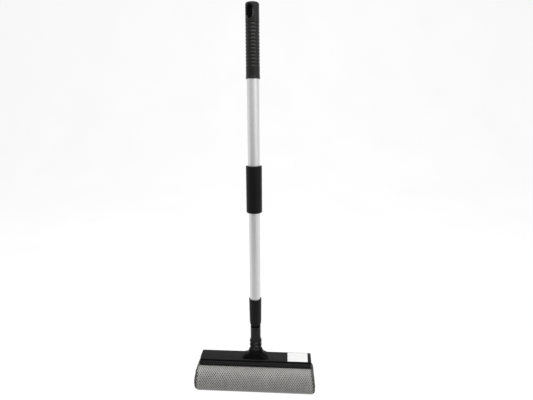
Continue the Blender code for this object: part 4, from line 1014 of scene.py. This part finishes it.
def net_way():
    """Angles at even distances round the sponge from the front tuck to the rear tuck, and the whole way."""
    line = []
    for index in range(2 * NET_POINTS):
        angle = math.pi / 2 + math.tau * index / (2 * NET_POINTS)
        point = sponge_point(angle, NET_OFFSET)
        if point[0] < TUCK_FRONT or point[0] > TUCK_REAR or point[1] < FOAM_CENTRE[1]:
            line.append((angle, point))
    points = np.array([tuple(point) for _, point in line])
    angles = np.array([angle for angle, _ in line])
    steps = np.concatenate([[0], np.cumsum(np.linalg.norm(np.diff(points, axis=0), axis=1))])
    return np.interp(np.linspace(0, steps[-1], NET_POINTS), steps, angles), steps[-1]


NET_ANGLES, NET_ARC = net_way()


def on_net(share):
    """The point over the foam at this share of the net's way round it, and the outward direction there."""
    shares = np.linspace(0, 1, NET_POINTS)
    angle = float(np.interp(min(max(share, 0), 1), shares, NET_ANGLES))
    point = sponge_point(angle, NET_OFFSET)
    way = (sponge_point(angle + 0.01, NET_OFFSET) - sponge_point(angle - 0.01, NET_OFFSET)).normalized()
    outward = Vector((way[1], -way[0]))
    if outward.dot(point - FOAM_CENTRE) < 0:
        outward = -outward
    return Vector((0, point[0], point[1])), Vector((0, outward[0], outward[1]))


def along_net(column, columns):
    """-1 to 1 along the sponge. The outermost crossings are drawn inward, so that the cut edge has teeth."""
    edge = min(column, columns - column)
    pull = EDGE_PULL * max(0, 1 - abs(edge - 1))
    return (2 * column + math.copysign(2 * pull, columns / 2 - column)) / columns - 1


def thread_path(family, column, row, columns, rows):
    """(point, outward) along one thread, which goes over and under the threads of the other family."""
    path = []
    while 0 <= column <= columns and row <= rows:
        over = 1 if (row % 2 == 0) == (family == 1) else -1
        for half, lift in ((0.0, STRAND_WEAVE * over), (0.5, 0.0)):
            across, down = column + family * half, row + half
            if not (0 <= across <= columns and down <= rows):
                break
            point, outward = on_net(down / rows)
            side = along_net(across, columns)
            point.x = (NET_HALF + end_lean(point.z, side)) * side
            path.append((point + outward * lift + Vector((0, 0, RIDGE_HEIGHT)), outward))
        column += family
        row += 1
    return path


def strand(vertices, faces, path):
    """Adds a flattened thread along a path of (point, outward) pairs."""
    sides = 6
    faces += loft_faces(len(path), sides, len(vertices))
    for index, (point, outward) in enumerate(path):
        before = path[max(index - 1, 0)][0]
        after = path[min(index + 1, len(path) - 1)][0]
        side = (after - before).normalized().cross(outward).normalized()
        for cosine, sine in circle(sides):
            vertices.append(point + side * STRAND_HALF_WIDTH * cosine + outward * STRAND_HALF_HEIGHT * sine)


def net():
    """Two families of threads that cross over and under each other in diamonds."""
    vertices, faces = [], []
    columns, rows = 2 * NET_COLUMNS, 2 * NET_ROWS
    for family in (1, -1):
        side = 0 if family == 1 else columns
        starts = [(column, 0) for column in range(0, columns + 1, 2)]
        starts += [(side, row) for row in range(2, rows, 2)]
        for column, row in starts:
            path = thread_path(family, column, row, columns, rows)
            if len(path) > 2:
                strand(vertices, faces, path)
    obj = from_lists("sponge_net", vertices, faces, 80)
    finish_piece(obj, "head", NET, "pale_net", "net_cover")
    return obj


# The label

LABEL_START = 0.066
LABEL_END = 0.107
LABEL_TOP = 0.0006
LABEL_DEPTH = ROOF_DEPTH - 0.0012
LABEL_THICKNESS = 0.00012


def label_point(across, down, layer):
    """A point of the label, which lies just off the roof and lifts a little at its lower right corner."""
    point = along(RIDGE, math.pi + ROOF_TILT, LABEL_TOP + LABEL_DEPTH * down)
    lift = 0.00005 + 0.004 * max(0, across + down - 1.72) ** 2
    lift += 0.00004 * noise.noise(Vector((across * 5, down * 4, 0.3)))
    lift += LABEL_THICKNESS * layer
    y = point[0] - math.sin(ROOF_TILT) * lift
    z = point[1] + math.cos(ROOF_TILT) * lift
    return LABEL_START + (LABEL_END - LABEL_START) * across, y, z + RIDGE_HEIGHT


def label():
    """The blank price label: two layers of points, joined round their rim."""
    columns, rows = 26, 12
    vertices, faces = [], []
    for layer in (0, 1):
        for row in range(rows + 1):
            vertices += [label_point(column / columns, row / rows, layer) for column in range(columns + 1)]
    width = columns + 1
    size = width * (rows + 1)
    for row in range(rows):
        for column in range(columns):
            low = row * width + column
            quad = (low, low + 1, low + width + 1, low + width)
            faces.append(quad)
            faces.append(tuple(size + index for index in reversed(quad)))
    rim = list(range(columns))
    rim += [row * width + columns for row in range(rows)]
    rim += [rows * width + column for column in range(columns, 0, -1)]
    rim += [row * width for row in range(rows, 0, -1)]
    for index, low in enumerate(rim):
        following = rim[(index + 1) % len(rim)]
        faces.append((low, following, size + following, size + low))
    obj = from_lists("blank_label", vertices, faces, 40)
    return finish_piece(obj, "head", PAPER, "pale_net")


# The solids kept as they are

SOLID_LOOKS = {
    "guide_bush": NYLON,
    "sleeve_rivet": STEEL,
    "lock_ring": NYLON,
    "cam_plug": SATIN_BLACK,
    "lock_cap": SATIN_BLACK,
    "lock_screw": STEEL,
    "threaded_spigot": SATIN_BLACK,
    "ferrule_rivet": STEEL,
    "sponge_carrier": SATIN_BLACK,
    "carrier_screw_1": STEEL,
    "carrier_screw_2": STEEL,
    "carrier_screw_3": STEEL,
    "carrier_screw_4": STEEL,
    "blade_channel": ALUMINIUM,
    "blade_rubber": RUBBER,
    "blade_stop_left": SATIN_BLACK,
    "blade_stop_right": SATIN_BLACK,
}


def dress_solids():
    for name, material in SOLID_LOOKS.items():
        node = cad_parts[name]
        node.data.materials.clear()
        node.data.materials.append(material)
        for polygon in node.data.polygons:
            polygon.material_index = 0
        smooth_shading(node, 32)


# Light, floor and camera

# The squeegee hangs by its hole, high enough for the pole to be drawn right out and the head unscrewed
FLOOR_DROP = 0.14
FLOOR_REACH = 30.0
BEND_START = 1.6
BEND_RADIUS = 1.2
WALL_HEIGHT = 5.0

# How far forward the floor is at its dimmest and at its brightest, and how much it glows there
GLOW_Y = (-0.8, -0.1)
GLOW = (0.30, 0.84)

WORLD_STRENGTH = 0.52

# Each panel: where it stands, what it faces, its width and height, and its power in watts
PANELS = {
    "right_panel": ((1.35, -0.95, 0.1), (0, 0, -0.2), 1.5, 1.5, 6),
    "left_panel": ((-1.5, -0.3, 0.0), (0, 0, -0.3), 1.4, 1.4, 2.2),
    "top_panel": ((0.0, 0.35, 1.35), (0, 0.2, -0.7), 1.9, 1.9, 33),
    "key_strip": ((0.40, -1.05, 0.95), (0, 0, -0.3), 1.7, 0.3, 13),
    "wall_light": ((0.0, 0.9, 1.5), (0, 2.8, 0.0), 2.0, 2.0, 10),
}

# The image's width in pixels, the sensor's in millimetres, then the camera in metres and degrees
IMAGE_WIDTH = 533
SENSOR_WIDTH = 36
CAMERA_FOCAL_PIXELS = 370.0
CAMERA_AZIMUTH = 5.4
CAMERA_DISTANCE = 0.6875
CAMERA_HEIGHT = -0.1855
CAMERA_YAW = 1.94
CAMERA_PITCH = 12.2
CAMERA_ROLL = -0.2


def floor():
    """A pale floor that curves up into a wall, and glows less in front, so that the blacks stay deep."""
    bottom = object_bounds()[0][2] - FLOOR_DROP
    section = [(-FLOOR_REACH, 0.0), (BEND_START, 0.0)]
    for sine, cosine in quarter(12, 1):
        section.append((BEND_START + BEND_RADIUS * sine, BEND_RADIUS * (1 - cosine)))
    section.append((BEND_START + BEND_RADIUS, WALL_HEIGHT))
    count = len(section)
    vertices = [(x, y, bottom + z) for x in (-FLOOR_REACH, FLOOR_REACH) for y, z in section]
    faces = [(index, index + 1, count + index + 1, count + index) for index in range(count - 1)]
    obj = from_lists("studio_floor", vertices, faces, 60)
    look = Look("studio_paper", 0.8, specular=0.1)
    look.colour(look.ramp(look.noise(3, 2), (0.3, (0.12, 0.12, 0.12)), (0.7, (0.14, 0.14, 0.14))))
    look.shader.inputs["Emission Color"].default_value = (1, 1, 1, 1)
    split = look.node("ShaderNodeSeparateXYZ", Vector=look.place)
    glow = look.ranged(split.outputs["Y"], *GLOW_Y, *GLOW)
    look.tree.links.new(glow, look.shader.inputs["Emission Strength"])
    obj.data.materials.append(look.material)
    obj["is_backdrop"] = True


def lights():
    """An even white world and large soft panels."""
    world = bpy.data.worlds.new("studio")
    bpy.context.scene.world = world
    world.use_nodes = True
    background = world.node_tree.nodes["Background"]
    background.inputs["Color"].default_value = (1.0, 1.0, 1.0, 1.0)
    background.inputs["Strength"].default_value = WORLD_STRENGTH
    for name, (place, target, width, height, power) in PANELS.items():
        data = bpy.data.lights.new(name, "AREA")
        data.shape = "RECTANGLE"
        data.size = width
        data.size_y = height
        data.energy = power
        light = bpy.data.objects.new(name, data)
        light.location = place
        light.rotation_euler = (Vector(target) - Vector(place)).to_track_quat("-Z", "Y").to_euler()
        light.visible_camera = False
        bpy.context.scene.collection.objects.link(light)


def camera():
    data = bpy.data.cameras.new("camera")
    data.sensor_fit = "HORIZONTAL"
    data.sensor_width = SENSOR_WIDTH
    data.lens = CAMERA_FOCAL_PIXELS / IMAGE_WIDTH * SENSOR_WIDTH
    data.clip_start = 0.02
    obj = bpy.data.objects.new("camera", data)
    bpy.context.scene.collection.objects.link(obj)
    azimuth = math.radians(CAMERA_AZIMUTH)
    x = math.sin(azimuth) * CAMERA_DISTANCE
    y = -math.cos(azimuth) * CAMERA_DISTANCE
    turn = Matrix.Rotation(math.radians(CAMERA_AZIMUTH - CAMERA_YAW), 4, "Z")
    tilt = Matrix.Rotation(math.radians(90 - CAMERA_PITCH), 4, "X")
    roll = Matrix.Rotation(math.radians(CAMERA_ROLL), 4, "Z")
    obj.matrix_world = Matrix.Translation((x, y, CAMERA_HEIGHT)) @ turn @ tilt @ roll
    bpy.context.scene.camera = obj


bpy.context.scene.view_settings.view_transform = "Standard"
bpy.context.scene.view_settings.look = "None"

grip()
tube("outer_tube", "upper_pole", "upper_tube", radius=0.0111, wall=0.00045)
mid_sleeve()
tube("inner_tube", "lower_pole", "lower_tube", radius=0.0105, wall=0.0005)
ferrule()
washer()
head_body()
clamp_strip()
foam()
net()
label()
dress_solids()
floor()
lights()
camera()
